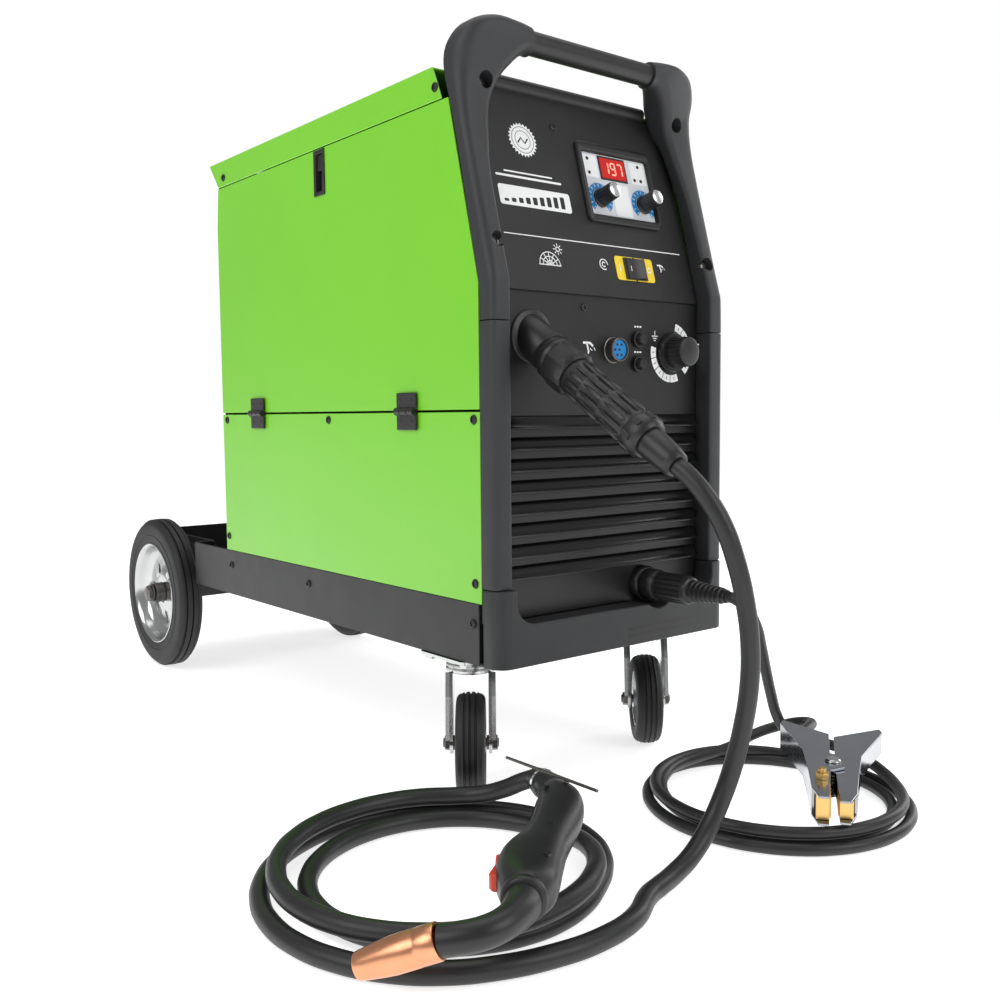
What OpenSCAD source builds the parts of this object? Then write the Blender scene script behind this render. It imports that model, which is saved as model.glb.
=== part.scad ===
// MIG welding machine on its wheeled cart, with torch, ground lead and clamp.
// Millimetres. +Z is up, the control panel faces -Y, the origin is on the floor
// under the middle of the cart.

/* [Cabinet] */
// Width over the side sheets
body_w = 290; // [286:1:294]
// Length of the side sheets, front to rear
body_l = 502; // [498:1:506]
// Height of the black base above the floor
base_z = 124; // [122:1:126]
// Height of the top sheet
top_z = 634; // [632:1:638]
// Lean of the control panel from the vertical, in degrees
lean = 15.4; // [15:0.1:16]
// Largest opening of the door, in degrees
door_open = 170; // [90:5:170]

/* [Wheels] */
// Radius of the rear tyres
wheel_r = 100; // [98:1:101]
// Width of the rear tyres
wheel_w = 31; // [28:1:32]
// Radius of the front caster wheels
caster_r = 45; // [43:1:46]
// Distance the caster wheel trails behind its swivel axis
trail = 20; // [16:1:22]

/* [Leads] */
// Outer diameter of the torch cable
torch_d = 14.5; // [12:0.5:14.5]
// Outer diameter of the ground cable
ground_d = 10; // [8:0.5:10]

/* [Hidden] */
$fn = 64;

fy = -384;                 // y of the front edge of the side sheets
half_w = body_w / 2;
sheet = 1.5;               // side sheets
pan = 3;                   // base pan steel
sill_z = 178;              // foot of the side sheets
seam_z = 341.5;            // seam between lower side sheet and door
cover_z = 605;             // lower edge of the cover's side flanges
post_y = -19;              // front face of the corner posts
ledge_z = 444;             // foot of the leaning control panel
ledge_y = -3;
panel_t = 3;
gap = 0.3;                 // gap between pieces that move past each other
run = 0.05;                // radial running clearance

pan_l = 600;               // base pan
tray_l = 798;              // rear end of the bottle tray
tray_hw = 120;
axle_y = 708;
axle_r = 6;
wheel_in = 130;            // inner face of the rear tyres
rim_r = 66;

caster_x = 113;
caster_y = 58;
caster_a = -39;            // direction in which both casters stand at rest
caster_w = 26;
race_z = 112;              // underside of the swivel race
bolt_r = 4;

knob_s = 97;               // knobs, along the leaning panel
wire_x = 18;
volt_x = 75;
rocker_x = 44.5;
rocker_s = 29;
range_p = [90, 396];       // x and z on the front panel
socket6_p = [10, 396];
breaker_p = [[43, 407], [43, 384]];
breaker_r = 5;
ground_p = [49, 176];
euro_p = [-88, 405];
euro_a = 32.5;             // droop of the torch connector
euro_l = 36;               // socket boss
plug_l = 198;              // end of the torch plug's sleeve, from the panel

hinge_x = -half_w - 4;
hinge_y = [105, 405];
hinge_w = 42;
pin_r = 1.5;

spool_p = [370, 473];      // y from the front edge, and z
stub_r = 25;
feed_y = 130;
feed_z = 400;
roll_r = 15;
fan_p = [62, 430];         // x and z
fan_y = 470;

bar_p = [19, 658];         // handle bar: y from the front edge, and z
bar_r = 10.2;
bar_hw = 74;

// Torch coil, ground coil and what lies on them, in the frame of the whole object.
coil_c = [-256, -483];
coil_out = 139;
coil_in = 88;
coil_h = 30;
gcoil_c = [57, -536];
gcoil_out = 115;
gcoil_in = 86;
gcoil_h = 21;

tail_p = [-164, -499, 49.5];   // rear end of the torch handle's body
head_p = [-293, -613, 49.5];   // front end of the torch handle's body
neck_pts = [[-293, -613, 49.5], [-302, -620.5, 49.4], [-313, -626, 49], [-325, -628, 48],
    [-336, -625, 46.2], [-345, -618.5, 44.2], [-353, -610, 42]];
nozzle_p = [-353, -610, 42];
nozzle_d = [-0.585, 0.717, -0.377];
clamp_p = [140, -534, 31];     // middle of the clamp's handle ends, on its underside
clamp_a = 215;                 // plan direction from the handles to the jaws
clamp_tilt = 3.4;
pivot_x = 92;                  // clamp pivot, from the handle ends

torch_route = [[-88, -551, 298.5], [-87, -562, 291], [-84, -576, 276], [-79, -587, 256],
    [-73, -594, 230], [-67, -598, 200], [-62, -599, 168], [-60, -597, 136], [-60, -592, 106],
    [-63, -586, 76], [-70, -581, 50], [-84, -579, 28], [-104, -581, 14], [-130, -586, 8],
    [-152, -592, 7.6], [-166, -596, 7.6]];
ground_route = [[49, -488, 176], [49.5, -497, 174.5], [53, -506, 167], [61, -510, 152],
    [73, -507, 130], [86, -502, 108], [102, -496, 82], [120, -490, 56], [138, -487, 38],
    [152, -490, 29], [159, -498, 26.4]];

// ---------- helpers

module at_front() translate([0, fy, 0]) children();
module on_lean() translate([0, fy + ledge_y, ledge_z]) rotate([-lean, 0, 0]) children();
module both() { children(); mirror([1, 0, 0]) children(); }
module bar_x(r, x0, x1) translate([x0, 0, 0]) rotate([0, 90, 0]) cylinder(r = r, h = x1 - x0);
module bar_y(r, y0, y1) translate([0, y0, 0]) rotate([-90, 0, 0]) cylinder(r = r, h = y1 - y0);
module box(a, b) translate(a) cube(b - a);
module slab_x(x0, x1) translate([x0, 0, 0]) rotate([90, 0, 90]) linear_extrude(x1 - x0) children();

function unit(v) = v / norm(v);
function tangent(p, i) = unit(p[min(i + 1, len(p) - 1)] - p[max(i - 1, 0)]);
function side(t) = unit(cross(t, abs(t[2]) > 0.9 ? [1, 0, 0] : [0, 0, 1]));
// Rings keep their turn from one route point to the next.
function carry(p, i, n) = unit(n - (n * tangent(p, i)) * tangent(p, i));
function sides(p, i = 0, n = undef) = i == len(p) ? [] :
    let (m = i == 0 ? side(tangent(p, 0)) : carry(p, i, n)) concat([m], sides(p, i + 1, m));
function ring(c, t, n, r, k) = let (m = cross(t, n))
    [for (j = [0 : k - 1]) c + r * (cos(360 * j / k) * n + sin(360 * j / k) * m)];
// One closed tube along a list of points, with a radius at each of them.
module tube(p, r, k = 10) {
    n = sides(p);
    m = len(p);
    pts = [for (i = [0 : m - 1]) each ring(p[i], tangent(p, i), n[i], is_list(r) ? r[i] : r, k)];
    skin = [for (i = [0 : m - 2], j = [0 : k - 1])
        [i * k + j, (i + 1) * k + j, (i + 1) * k + (j + 1) % k, i * k + (j + 1) % k]];
    polyhedron(pts, concat([[for (j = [0 : k - 1]) j]], skin,
        [[for (j = [k - 1 : -1 : 0]) (m - 1) * k + j]]), convexity = 6);
}
// Turns +Z onto a direction.
module aim(p, d) translate(p) rotate([0, acos(d[2] / norm(d)), atan2(d[1], d[0])]) children();

// ---------- base, tray and axle

module base_pan() color("#1c1d1f") at_front() difference() {
    box([-half_w, 4, base_z], [half_w, pan_l, sill_z]);
    box([-half_w + 2, 6, base_z + pan], [half_w - 2, pan_l - 2, sill_z + 1]);
    box([-tray_hw + 2, pan_l - 5, base_z + pan], [tray_hw - 2, pan_l + 1, sill_z + 1]);
    translate([ground_p[0], 0, ground_p[1]]) bar_y(13.2, 2, 16);
}

module bottle_tray() color("#1c1d1f") at_front() difference() {
    union() {
        difference() {
            box([-tray_hw, pan_l, base_z], [tray_hw, tray_l, sill_z]);
            box([-tray_hw + 2, pan_l - 1, base_z + pan], [tray_hw - 2, tray_l - 3, sill_z + 1]);
        }
        box([-125, axle_y - 11, wheel_r - 11], [125, axle_y + 11, wheel_r + 11]);
        both() box([tray_hw - 8, axle_y - 24, wheel_r - 11], [tray_hw, axle_y + 24, base_z]);
    }
    translate([0, axle_y, wheel_r]) bar_x(axle_r, -130, 130);
}

module rear_axle() color("#c9cdd0") at_front() translate([0, axle_y, wheel_r]) {
    bar_x(axle_r, -171, 171);
    both() {
        bar_x(13, 125, 127);
        bar_x(12, 162.5, 164.5);
        translate([164.5, 0, 0]) rotate([0, 90, 0]) cylinder(r = 10.5, h = 5.5, $fn = 6);
    }
}

// ---------- rear wheels, along +X from the inner tyre face

// Tyre section: flat tread with three grooves and round shoulders.
function shoulder(c, r, a0, a1) = [for (i = [0 : 4]) let (a = a0 + (a1 - a0) * i / 4)
    [c[0] + r * cos(a), c[1] + r * sin(a)]];
module tyre(r, ri, w, grooves) rotate([0, 90, 0]) rotate_extrude($fn = 96) difference() {
    polygon(concat([[ri, 1], [ri, w - 1], [ri + 3, w]],
        [for (p = shoulder([r - 7, w - 7], 7, 90, 0)) p],
        [for (p = shoulder([r - 7, 7], 7, 0, -90)) p], [[ri + 3, 0]]));
    for (g = grooves) translate([r - 1.5, g - 0.8]) square([3, 1.6]);
}
module rear_tyre() at_front() translate([wheel_in, axle_y, wheel_r])
    tyre(wheel_r, rim_r, wheel_w, [8, 15.5, 23]);
module rear_rim() at_front() translate([wheel_in, axle_y, wheel_r]) rotate([0, 90, 0])
    rotate_extrude($fn = 96) polygon([[axle_r + run, -2], [13, -2], [13, 13], [48, 13], [56, 3],
        [rim_r, 3], [rim_r, 5.5], [58, 5.5], [58, 25.5], [rim_r, 25.5], [rim_r, 28], [56, 28],
        [48, 15.5], [13, 15.5], [13, 32], [axle_r + run, 32]]);

module left_rear_tyre() color("#17181a") mirror([1, 0, 0]) rear_tyre();
module right_rear_tyre() color("#17181a") rear_tyre();
module left_rear_rim() color("#c9cdd0") mirror([1, 0, 0]) rear_rim();
module right_rear_rim() color("#c9cdd0") rear_rim();

// ---------- casters: built trailing to -Y, then turned to their rest direction

module caster_plates() color("#c9cdd0") at_front() for (s = [-1, 1])
    translate([s * caster_x, caster_y, 0]) {
        difference() {
            box([-34, -34, base_z - 3], [34, 34, base_z]);
            for (x = [-26, 26], y = [-26, 26]) translate([x, y, base_z - 4]) cylinder(r = 3.5, h = 5);
        }
        translate([0, 0, race_z + 3]) cylinder(r = 23, h = base_z - race_z - 6);
        translate([0, 0, race_z - 6]) cylinder(r = 5, h = 10);
    }

module caster_at(s) at_front() translate([s * caster_x, caster_y, 0])
    rotate([0, 0, caster_a]) children();

module fork_arm() slab_x(caster_w / 2 + 3, caster_w / 2 + 6) difference() {
    polygon([[-20, race_z - 5], [20, race_z - 5], [18, race_z - 22], [-trail + 10, caster_r - 4],
        [-trail + 6, caster_r - 10], [-trail - 6, caster_r - 10], [-trail - 10, caster_r - 4]]);
}
module caster_fork() difference() {
    union() {
        translate([0, 0, race_z - 5]) cylinder(r = 22.5, h = 7.7);
        both() fork_arm();
        translate([0, -trail, caster_r]) {
            bar_x(bolt_r, -caster_w / 2 - 12, caster_w / 2 + 12);
            both() bar_x(7, caster_w / 2 + 6, caster_w / 2 + 10);
            both() bar_x(6.5, caster_w / 2 + 0.6, caster_w / 2 + 3);
        }
    }
    translate([0, 0, race_z - 10]) cylinder(r = 5 + run, h = 14);
}
module caster_wheel() translate([-caster_w / 2, -trail, caster_r]) {
    tyre(caster_r, 26, caster_w, [8, 13, 18]);
    rotate([0, 90, 0]) rotate_extrude() polygon([[bolt_r + run, 0], [9, 0], [9, 8], [24, 8],
        [24, 3], [26, 3], [26, 23], [24, 23], [24, 18], [9, 18], [9, 26], [bolt_r + run, 26]]);
}
module left_caster_fork() color("#c9cdd0") caster_at(-1) caster_fork();
module right_caster_fork() color("#c9cdd0") caster_at(1) caster_fork();
module left_caster_wheel() color("#17181a") caster_at(-1) caster_wheel();
module right_caster_wheel() color("#17181a") caster_at(1) caster_wheel();

// ---------- cabinet sheets

// Side outline: the front edge leans back with the rails. Points are y and z.
function side_outline(z0, cut = 0) = [[cut, z0], [cut, 448], [38.5 + cut, cover_z - 0.5],
    [497, cover_z - 0.5], [body_l, 560], [body_l, z0]];
module divider_wall() color("#9aa0a3") at_front() {
    slab_x(-20, -18) polygon([[9, base_z + pan], [9, 438], [53, 598], [70, 620], [496, 620],
        [496, base_z + pan]]);
    translate([0, spool_p[0], spool_p[1]]) {
        bar_x(stub_r, -114, -20);
        bar_x(32, -24, -20);
        bar_x(31, -118, -111.5);
    }
}
module rear_panel() color("#1c1d1f") at_front() {
    difference() {
        box([-half_w + 2, body_l - 4, base_z + pan], [half_w - 2, body_l - 2, 630]);
        translate([fan_p[0], 0, fan_p[1]]) for (r = [16, 28, 40, 52]) difference() {
            bar_y(r + 4, body_l - 5, body_l);
            bar_y(r - 4, body_l - 6, body_l + 1);
            for (a = [0, 60, 120]) rotate([0, a, 0]) translate([-60, 0, -2.5])
                translate([0, body_l - 7, 0]) cube([120, 9, 5]);
        }
        translate([-70, 0, 205]) bar_y(8, body_l - 5, body_l);
        translate([-70, 0, 330]) bar_y(6, body_l - 5, body_l);
    }
    translate([fan_p[0], 0, fan_p[1]]) {
        bar_y(10, fan_y + 10, body_l - 4);
        bar_y(4, fan_y - 12, fan_y + 10);
    }
    // Gland for the mains lead
    translate([-70, 0, 205]) difference() {
        union() {
            bar_y(14, body_l - 2, body_l + 4);
            bar_y(11, body_l + 4, body_l + 22);
        }
        bar_y(7, body_l - 6, body_l + 23);
    }
}
module gas_inlet() color("#b08d3c") at_front() translate([-70, 0, 330]) {
    bar_y(6, body_l - 12, body_l - 2);
    translate([0, body_l - 2, 0]) rotate([-90, 0, 0]) cylinder(r = 10, h = 7, $fn = 6);
    bar_y(4, body_l + 5, body_l + 34);
}
module top_cover() color("#6fd62c") at_front() difference() {
    slab_x(-half_w - sheet, half_w + sheet)
        polygon([[46, cover_z], [59, top_z], [body_l + 14, top_z], [body_l - 9, cover_z]]);
    box([-half_w, 0, cover_z - 5], [half_w, body_l + 40, top_z - 2]);
}
module lower_side_panel() color("#6fd62c") at_front() slab_x(-half_w, -half_w + sheet)
    polygon([[0, sill_z], [0, seam_z - 1], [body_l, seam_z - 1], [body_l, sill_z]]);
module right_side_panel() color("#6fd62c") at_front() slab_x(half_w - sheet, half_w)
    polygon(side_outline(sill_z));

// ---------- door on the left, hinged along its lower edge

module door() color("#6fd62c") at_front() difference() {
    union() {
        slab_x(-half_w, -half_w + sheet) polygon(side_outline(seam_z + 1, 0.6));
        box([-half_w + sheet, 44, 598], [-half_w + 8, 494, 599.5]);
        box([-half_w + sheet, body_l - 8, 350], [-half_w + 8, body_l - 6.5, 590]);
    }
    box([-half_w - 1, 249, 561], [-half_w + 9, 265, 601]);
}
// Door knuckles turn on the pin of the fixed leaves.
module knuckle(y0, y1) difference() {
    bar_y(3.6, y0, y1);
    bar_y(pin_r + run, y0 - 1, y1 + 1);
}
module door_hinge_leaves() color("#1c1d1f") at_front() for (y = hinge_y)
    translate([hinge_x, y, seam_z]) {
        for (s = [-1, 1]) translate([0, s * 15.5 - 5.5, 0]) {
            knuckle(0, 11);
            difference() {
                box([-0.5, 0, 0], [4, 11, 8]);
                bar_y(2.2, -1, 12);
            }
        }
        box([0.5, -hinge_w / 2, 5.5], [4, hinge_w / 2, 18]);
    }
module panel_hinge_leaves() color("#1c1d1f") at_front() for (y = hinge_y)
    translate([hinge_x, y, seam_z]) {
        bar_y(3.6, -9.7, 9.7);
        box([0.5, -9.7, -7], [4, 9.7, 0]);
        box([0.5, -hinge_w / 2, -18], [4, hinge_w / 2, -5.5]);
        bar_y(pin_r, -21, 21);
    }
// A flange on the sheet and a well that goes through it.
module latch_frame() color("#2a2c2e") at_front() difference() {
    union() {
        box([-half_w - 1.5, 246.5, 558.5], [-half_w, 267.5, 603.5]);
        box([-half_w, 249, 561], [-half_w + 7.5, 265, 601]);
    }
    box([-half_w - 2, 250.5, 562.5], [-half_w + 6, 263.5, 599.5]);
}
module latch_slider() color("#101112") at_front() {
    box([-half_w + 0.5, 251, 583], [-half_w + 5.8, 263, 599]);
}

// ---------- front: leaning panel, louvred panel, bumper, rails and handle

module control_panel() color("#141516") on_lean() {
    translate([rocker_x, 0, rocker_s - 11.5]) cylinder(r = 1.2, h = 23, $fn = 32);
    difference() {
        union() {
            box([-124, 0, 0], [124, panel_t, 189]);
            translate([0, 2, 194]) bar_x(7, -98, 98);
        }
        box([2, -1, 80], [88, panel_t + 1, 142]);
        box([rocker_x - 12.5, -1, rocker_s - 10.5], [rocker_x + 12.5, panel_t + 1, rocker_s + 10.5]);
    }
}
module control_bezel() color("#101112") on_lean() difference() {
    box([-4, -4, 72], [92, 0, 151]);
    box([2, -5, 80], [88, 1, 142]);
}
module control_faceplate() color("#9fb6c4") on_lean() difference() {
    box([2, 0, 80], [88, panel_t, 142]);
    for (x = [wire_x, volt_x]) translate([x, 0, knob_s]) bar_y(3 + run, -1, 4);
}
module pot_knob(x) on_lean() translate([x, 0, knob_s]) {
    bar_y(3, -1, 9);
    bar_y(8.5, -3, -0.5);
    bar_y(7.2, -20, -3);
}
module wire_knob() color("#101112") pot_knob(wire_x);
module volt_knob() color("#101112") pot_knob(volt_x);
module power_rocker() color("#101112") on_lean() translate([rocker_x, 0, rocker_s])
    rotate([0, 0, -8]) translate([0, 0, -10]) linear_extrude(20)
        difference() {
            polygon([[-11, 5], [-11, -3.5], [0, -1.8], [11, -3.5], [11, 5]]);
            circle(r = 1.2 + run, $fn = 32);
        }

module louvre(z) slab_x(-124, 124) polygon([[0.5, z + 11], [-2, z + 9], [-8.5, z], [-8.5, z - 1.6],
    [-7, z - 1.6], [-1.5, z + 5], [0.5, z + 6]]);
module louvre_panel() color("#141516") at_front() {
    difference() {
        union() {
            box([-half_w + sheet + gap, 0, 161], [half_w - sheet, panel_t, 443]);
            for (i = [0 : 7]) louvre(327.5 - 18.5 * i);
            both() box([126, post_y, 191.5], [half_w, 0, 415.5]);
            for (p = breaker_p) translate([p[0], 0, p[1]]) bar_y(7.5, -4, 0);
        }
        for (i = [0 : 7]) box([-116, -1, 318 - 18.5 * i], [116, 4, 325 - 18.5 * i]);
        for (p = breaker_p) translate([p[0], 0, p[1]]) bar_y(breaker_r + run, -6, 5);
        translate([range_p[0], 0, range_p[1]]) bar_y(4 + run, -1, 4);
        translate([euro_p[0], 0, euro_p[1]]) bar_y(14, -1, 4);
        translate([socket6_p[0], 0, socket6_p[1]]) bar_y(9, -1, 4);
        translate([ground_p[0], 0, ground_p[1]]) bar_y(13, -1, 4);
    }
}
module range_knob() color("#101112") at_front() translate([range_p[0], 0, range_p[1]]) {
    bar_y(4, -1, 12);
    bar_y(19, -6, -0.5);
    bar_y(15, -25, -6);
}
module breaker(p) color("#101112") at_front() translate([p[0], 0, p[1]]) {
    bar_y(breaker_r, -9, 6);
    bar_y(breaker_r + 2.5, 3.3, 5.3);
}
module upper_breaker() breaker(breaker_p[0]);
module lower_breaker() breaker(breaker_p[1]);
module control_socket() color("#3d6fb0") at_front() translate([socket6_p[0], 0, socket6_p[1]]) {
    bar_y(8.7, 0, 12);
    difference() {
        bar_y(11, -11, 0);
        bar_y(9, -12, -7);
    }
}

// Everything on the torch connector's axis: +Z runs out of the panel.
module on_euro() translate([euro_p[0], fy, euro_p[1]]) rotate([90 + euro_a, 0, 0]) children();
module euro_socket() color("#1c1d1f") difference() {
    union() {
        on_euro() translate([0, 0, -16]) cylinder(r = 17.5, h = euro_l + 16);
        at_front() translate([euro_p[0], 0, euro_p[1]]) bar_y(23, -2.5, 0);
    }
    at_front() difference() {
        box([euro_p[0] - 40, -0.01, euro_p[1] - 40], [euro_p[0] + 40, 60, euro_p[1] + 40]);
        translate([euro_p[0], 0, euro_p[1]]) bar_y(13.5, -1, 16);
    }
}
module torch_plug() color("#1c1d1f") on_euro() {
    translate([0, 0, euro_l]) cylinder(r = 19, h = 7);
    translate([0, 0, euro_l + 7]) cylinder(r = 21, h = 24, $fn = 8);
    translate([0, 0, euro_l + 31]) cylinder(r = 18, h = 82);
    translate([0, 0, euro_l + 113]) cylinder(r = 17, h = 16);
    translate([0, 0, euro_l + 129]) cylinder(r = 12.5, h = plug_l - euro_l - 129);
}
module ground_socket() color("#1c1d1f") at_front() translate([ground_p[0], 0, ground_p[1]]) {
    bar_y(12.5, 0, 14);
    bar_y(17, -9, 0);
}
module ground_plug() color("#1c1d1f") at_front() translate([ground_p[0], 0, ground_p[1]]) {
    bar_y(15, -24, -9);
    bar_y(13, -62, -24);
    rotate([90, 0, 0]) translate([0, 0, 62]) cylinder(r1 = 10, r2 = 6.5, h = 42);
}

// Bumper outline in plan, with rounded front corners.
module bumper_plan() {
    translate([-half_w + 14, -24]) square([body_w - 28, 28]);
    translate([-half_w, -10]) square([body_w, 14]);
    for (s = [-1, 1]) translate([s * (half_w - 14), -10]) circle(14);
}
module bumper() color("#2b2d30") at_front() difference() {
    translate([0, 0, base_z]) linear_extrude(191 - base_z) bumper_plan();
    box([-half_w - 1, -1, base_z + pan], [half_w + 1, 5, 192]);
    translate([0, -1, 0]) rotate([90, 0, 0]) linear_extrude(30) {
        translate([-105, 160.5]) square([210, 40]);
        translate([-125, 180]) square([250, 20]);
        for (s = [-1, 1]) translate([s * 105, 180.5]) circle(20);
        translate(ground_p) circle(21);
    }
    box([-half_w + 12, -16, base_z + 12], [half_w - 12, 0, 146]);
}

// Rail section in plan at one height: outer edge, inner edge, front, rear, outer front chamfer.
module rail_cut(z, xi, yf, yr, cx, cy) translate([0, 0, z]) linear_extrude(0.1)
    polygon([[-half_w, yr], [-half_w, yf + cy], [-half_w + cx, yf], [xi - 2, yf], [xi, yf + 2],
        [xi, yr]]);
module rail() {
    hull() {
        rail_cut(416, -126, post_y, 0, 5, 5);
        rail_cut(448, -126, post_y, 0, 6, 6);
    }
    hull() {
        rail_cut(448, -126, post_y, 0, 6, 6);
        rail_cut(537, -124, 5, 21.5, 14, 12);
    }
    hull() {
        rail_cut(537, -124, 5, 21.5, 14, 12);
        rail_cut(600, -113, 20, 37, 22, 14);
    }
    hull() {
        rail_cut(600, -113, 20, 37, 22, 14);
        rail_cut(622, -104, 19, 43, 24, 16);
        translate([-128, 36, 640]) sphere(r = 12, $fn = 24);
    }
    hull() {
        rail_cut(622, -104, 19, 43, 24, 16);
        translate([-126, 34, 642]) sphere(r = 13, $fn = 24);
        translate([-112, 24, 654]) sphere(r = 14.5, $fn = 32);
    }
    hull() {
        translate([-112, 24, 654]) sphere(r = 14.5, $fn = 32);
        translate([0, bar_p[0], bar_p[1]]) bar_x(12.5, -90, -bar_hw, $fn = 32);
    }
}
module left_rail() color("#2b2d30") at_front() rail();
module right_rail() color("#2b2d30") at_front() mirror([1, 0, 0]) rail();
module handle_bar() color("#141516") at_front() translate([0, bar_p[0], bar_p[1]])
    bar_x(bar_r, -bar_hw, bar_hw);

module screw(r = 4, h = 1.6) cylinder(r = r, h = h);
module case_screws() color("#3a3d40") at_front() {
    for (s = [-1, 1]) {
        for (p = [[478, 614.5], [55, 616]]) translate([s * (half_w + sheet), p[0], p[1]])
            rotate([0, s * 90, 0]) screw();
        for (p = [[8, 195], [494, 195], [8, 334], [250, 334], [490, 334]])
            translate([s * half_w, p[0], p[1]]) rotate([0, s * 90, 0]) screw();
        for (y = [12, 300, 490]) translate([s * half_w, y, 160]) rotate([0, s * 90, 0]) screw();
    }
    for (x = [-130, 130], z = [150, 380, 600]) translate([x, body_l - 2, z])
        rotate([-90, 0, 0]) screw();
}

// ---------- inside the cabinet

module wire_spool() color("#d8c9a0") at_front() translate([-110, spool_p[0], spool_p[1]])
    rotate([0, 90, 0]) rotate_extrude($fn = 96) polygon([[stub_r + run, 0], [98, 0], [98, 4],
        [82, 4], [82, 50], [98, 50], [98, 54], [stub_r + run, 54]]);
module wire_feeder() color("#6d7377") at_front() {
    box([-44, feed_y - 45, feed_z - 40], [-20, feed_y + 45, feed_z + 12]);
    box([-66, feed_y - 45, feed_z + 4], [-44, feed_y - 24, feed_z + 12]);
    box([-66, feed_y - 45, feed_z - 14], [-44, feed_y - 38, feed_z + 4]);
    translate([0, feed_y, feed_z]) bar_x(5, -66, -44);
    translate([0, feed_y + 34, feed_z + 30]) bar_x(4, -66, -44);
    box([-44, feed_y + 24, feed_z + 12], [-20, feed_y + 44, feed_z + 40]);
}
module drive_roll() color("#c9cdd0") at_front() translate([0, feed_y, feed_z]) difference() {
    bar_x(roll_r, -60, -48);
    bar_x(5 + run, -61, -47);
}
module idle_roll() color("#c9cdd0") at_front() translate([0, feed_y, feed_z + 2 * roll_r + 1])
    difference() {
        bar_x(roll_r, -60, -48);
        bar_x(3 + run, -61, -47);
    }
module pressure_arm() color("#2a2c2e") at_front() {
    difference() {
        union() {
            box([-66, feed_y - 30, feed_z + 26], [-62, feed_y + 42, feed_z + 36]);
            translate([0, feed_y + 34, feed_z + 30]) bar_x(7, -66, -62);
        }
        translate([0, feed_y + 34, feed_z + 30]) bar_x(4 + run, -67, -61);
    }
    translate([0, feed_y, feed_z + 2 * roll_r + 1]) bar_x(3, -62, -47);
}
module transformer() color("#5a4a3a") at_front() {
    box([16, 150, base_z + pan], [126, 310, 131]);
    box([28, 170, 131], [114, 290, 161]);
    box([28, 170, 161], [114, 196, 237]);
    box([28, 264, 161], [114, 290, 237]);
    box([28, 170, 237], [114, 290, 263]);
    box([20, 200, 165], [122, 260, 233]);
}
module fan_rotor() color("#2a2c2e") at_front() translate([fan_p[0], fan_y, fan_p[1]]) {
    difference() {
        bar_y(16, -12, 8);
        bar_y(4 + run, -13, 9);
    }
    for (a = [0 : 72 : 359]) rotate([0, a, 0]) translate([14, -2, -13]) rotate([0, 0, 22])
        cube([42, 3, 26]);
}

// ---------- torch lead

module torch_cable() color("#141516") tube(torch_route, torch_d / 2, 10);
module torch_coil() color("#141516") translate([coil_c[0], coil_c[1], 0]) rotate_extrude()
    translate([coil_in, 0]) square([coil_out - coil_in, coil_h]);
torch_dir = unit(head_p - tail_p);
torch_side = unit([torch_dir[1], -torch_dir[0], 0]);    // trigger side, level
module torch_handle() color("#1c1d1f") difference() {
    tube([tail_p - 26 * torch_dir + [-6, 24, 0], tail_p - 10 * torch_dir + [-1, 7, 0],
        tail_p + 10 * torch_dir, tail_p + 60 * torch_dir - 3 * torch_side,
        tail_p + 106 * torch_dir, tail_p + 142 * torch_dir, head_p - 14 * torch_dir, head_p],
        [9, 12.5, 15.5, 16.5, 17, 19, 17.5, 14], 16);
    aim(tail_p + 138 * torch_dir + 22 * torch_side, torch_side) translate([-8, -24, -16])
        cube([16, 48, 20]);
}
module torch_trigger() color("#d8412a") aim(tail_p + 138 * torch_dir + 22 * torch_side, torch_side)
    translate([-5.5, -18, -9]) cube([11, 36, 10.5]);
module torch_neck() color("#1c1d1f") tube(neck_pts, 9.5, 16);
module torch_nozzle() color("#b87040") aim(nozzle_p, nozzle_d) difference() {
    union() {
        cylinder(r = 11, h = 29);
        translate([0, 0, 29]) cylinder(r1 = 11, r2 = 8.2, h = 24);
    }
    translate([0, 0, 39]) cylinder(r = 7.2, h = 20);
}

// ---------- ground lead and clamp

module ground_cable() color("#141516") tube(ground_route, ground_d / 2, 10);
module ground_coil() color("#141516") translate([gcoil_c[0], gcoil_c[1], 0]) rotate_extrude()
    translate([gcoil_in, 0]) square([gcoil_out - gcoil_in, gcoil_h]);

// The clamp is drawn with its handles at the origin and its jaws to +X. Each half is a
// folded channel, and the upper half nests inside the lower one at the pivot.
module on_clamp() translate(clamp_p) rotate([0, 0, clamp_a]) rotate([0, clamp_tilt, 0]) children();
module clamp_plate() polygon([[0, 42], [8, 44], [70, 24], [110, 20], [150, 17], [166, 12],
    [166, 4], [112, 2], [104, -9], [80, -9], [74, 2], [28, 2]]);
module clamp_web() polygon([[1, 42], [8, 44], [70, 24], [110, 20], [150, 17], [150, 14.8],
    [110, 17.8], [70, 21.8], [8, 41.8], [1, 40]]);
module clamp_half(z0, z1) {
    translate([0, 0, z0]) linear_extrude(2) clamp_plate();
    translate([0, 0, z1 - 2]) linear_extrude(2) clamp_plate();
    translate([0, 0, z0]) linear_extrude(z1 - z0) clamp_web();
    box([120, 3.5, z0 + 2], [160, 14, z1 - 2]);
}
module clamp_lower_jaw() color("#c9cdd0") on_clamp() {
    mirror([0, 1, 0]) difference() {
        clamp_half(0, 24);
        translate([pivot_x, 0, -1]) cylinder(r = 4, h = 30);
    }
    translate([pivot_x, 0, 0]) cylinder(r = 4, h = 26);
}
module clamp_upper_jaw() color("#c9cdd0") on_clamp() difference() {
    clamp_half(2.4, 21.6);
    translate([pivot_x, 0, -1]) cylinder(r = 4 + run, h = 30);
}

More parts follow.
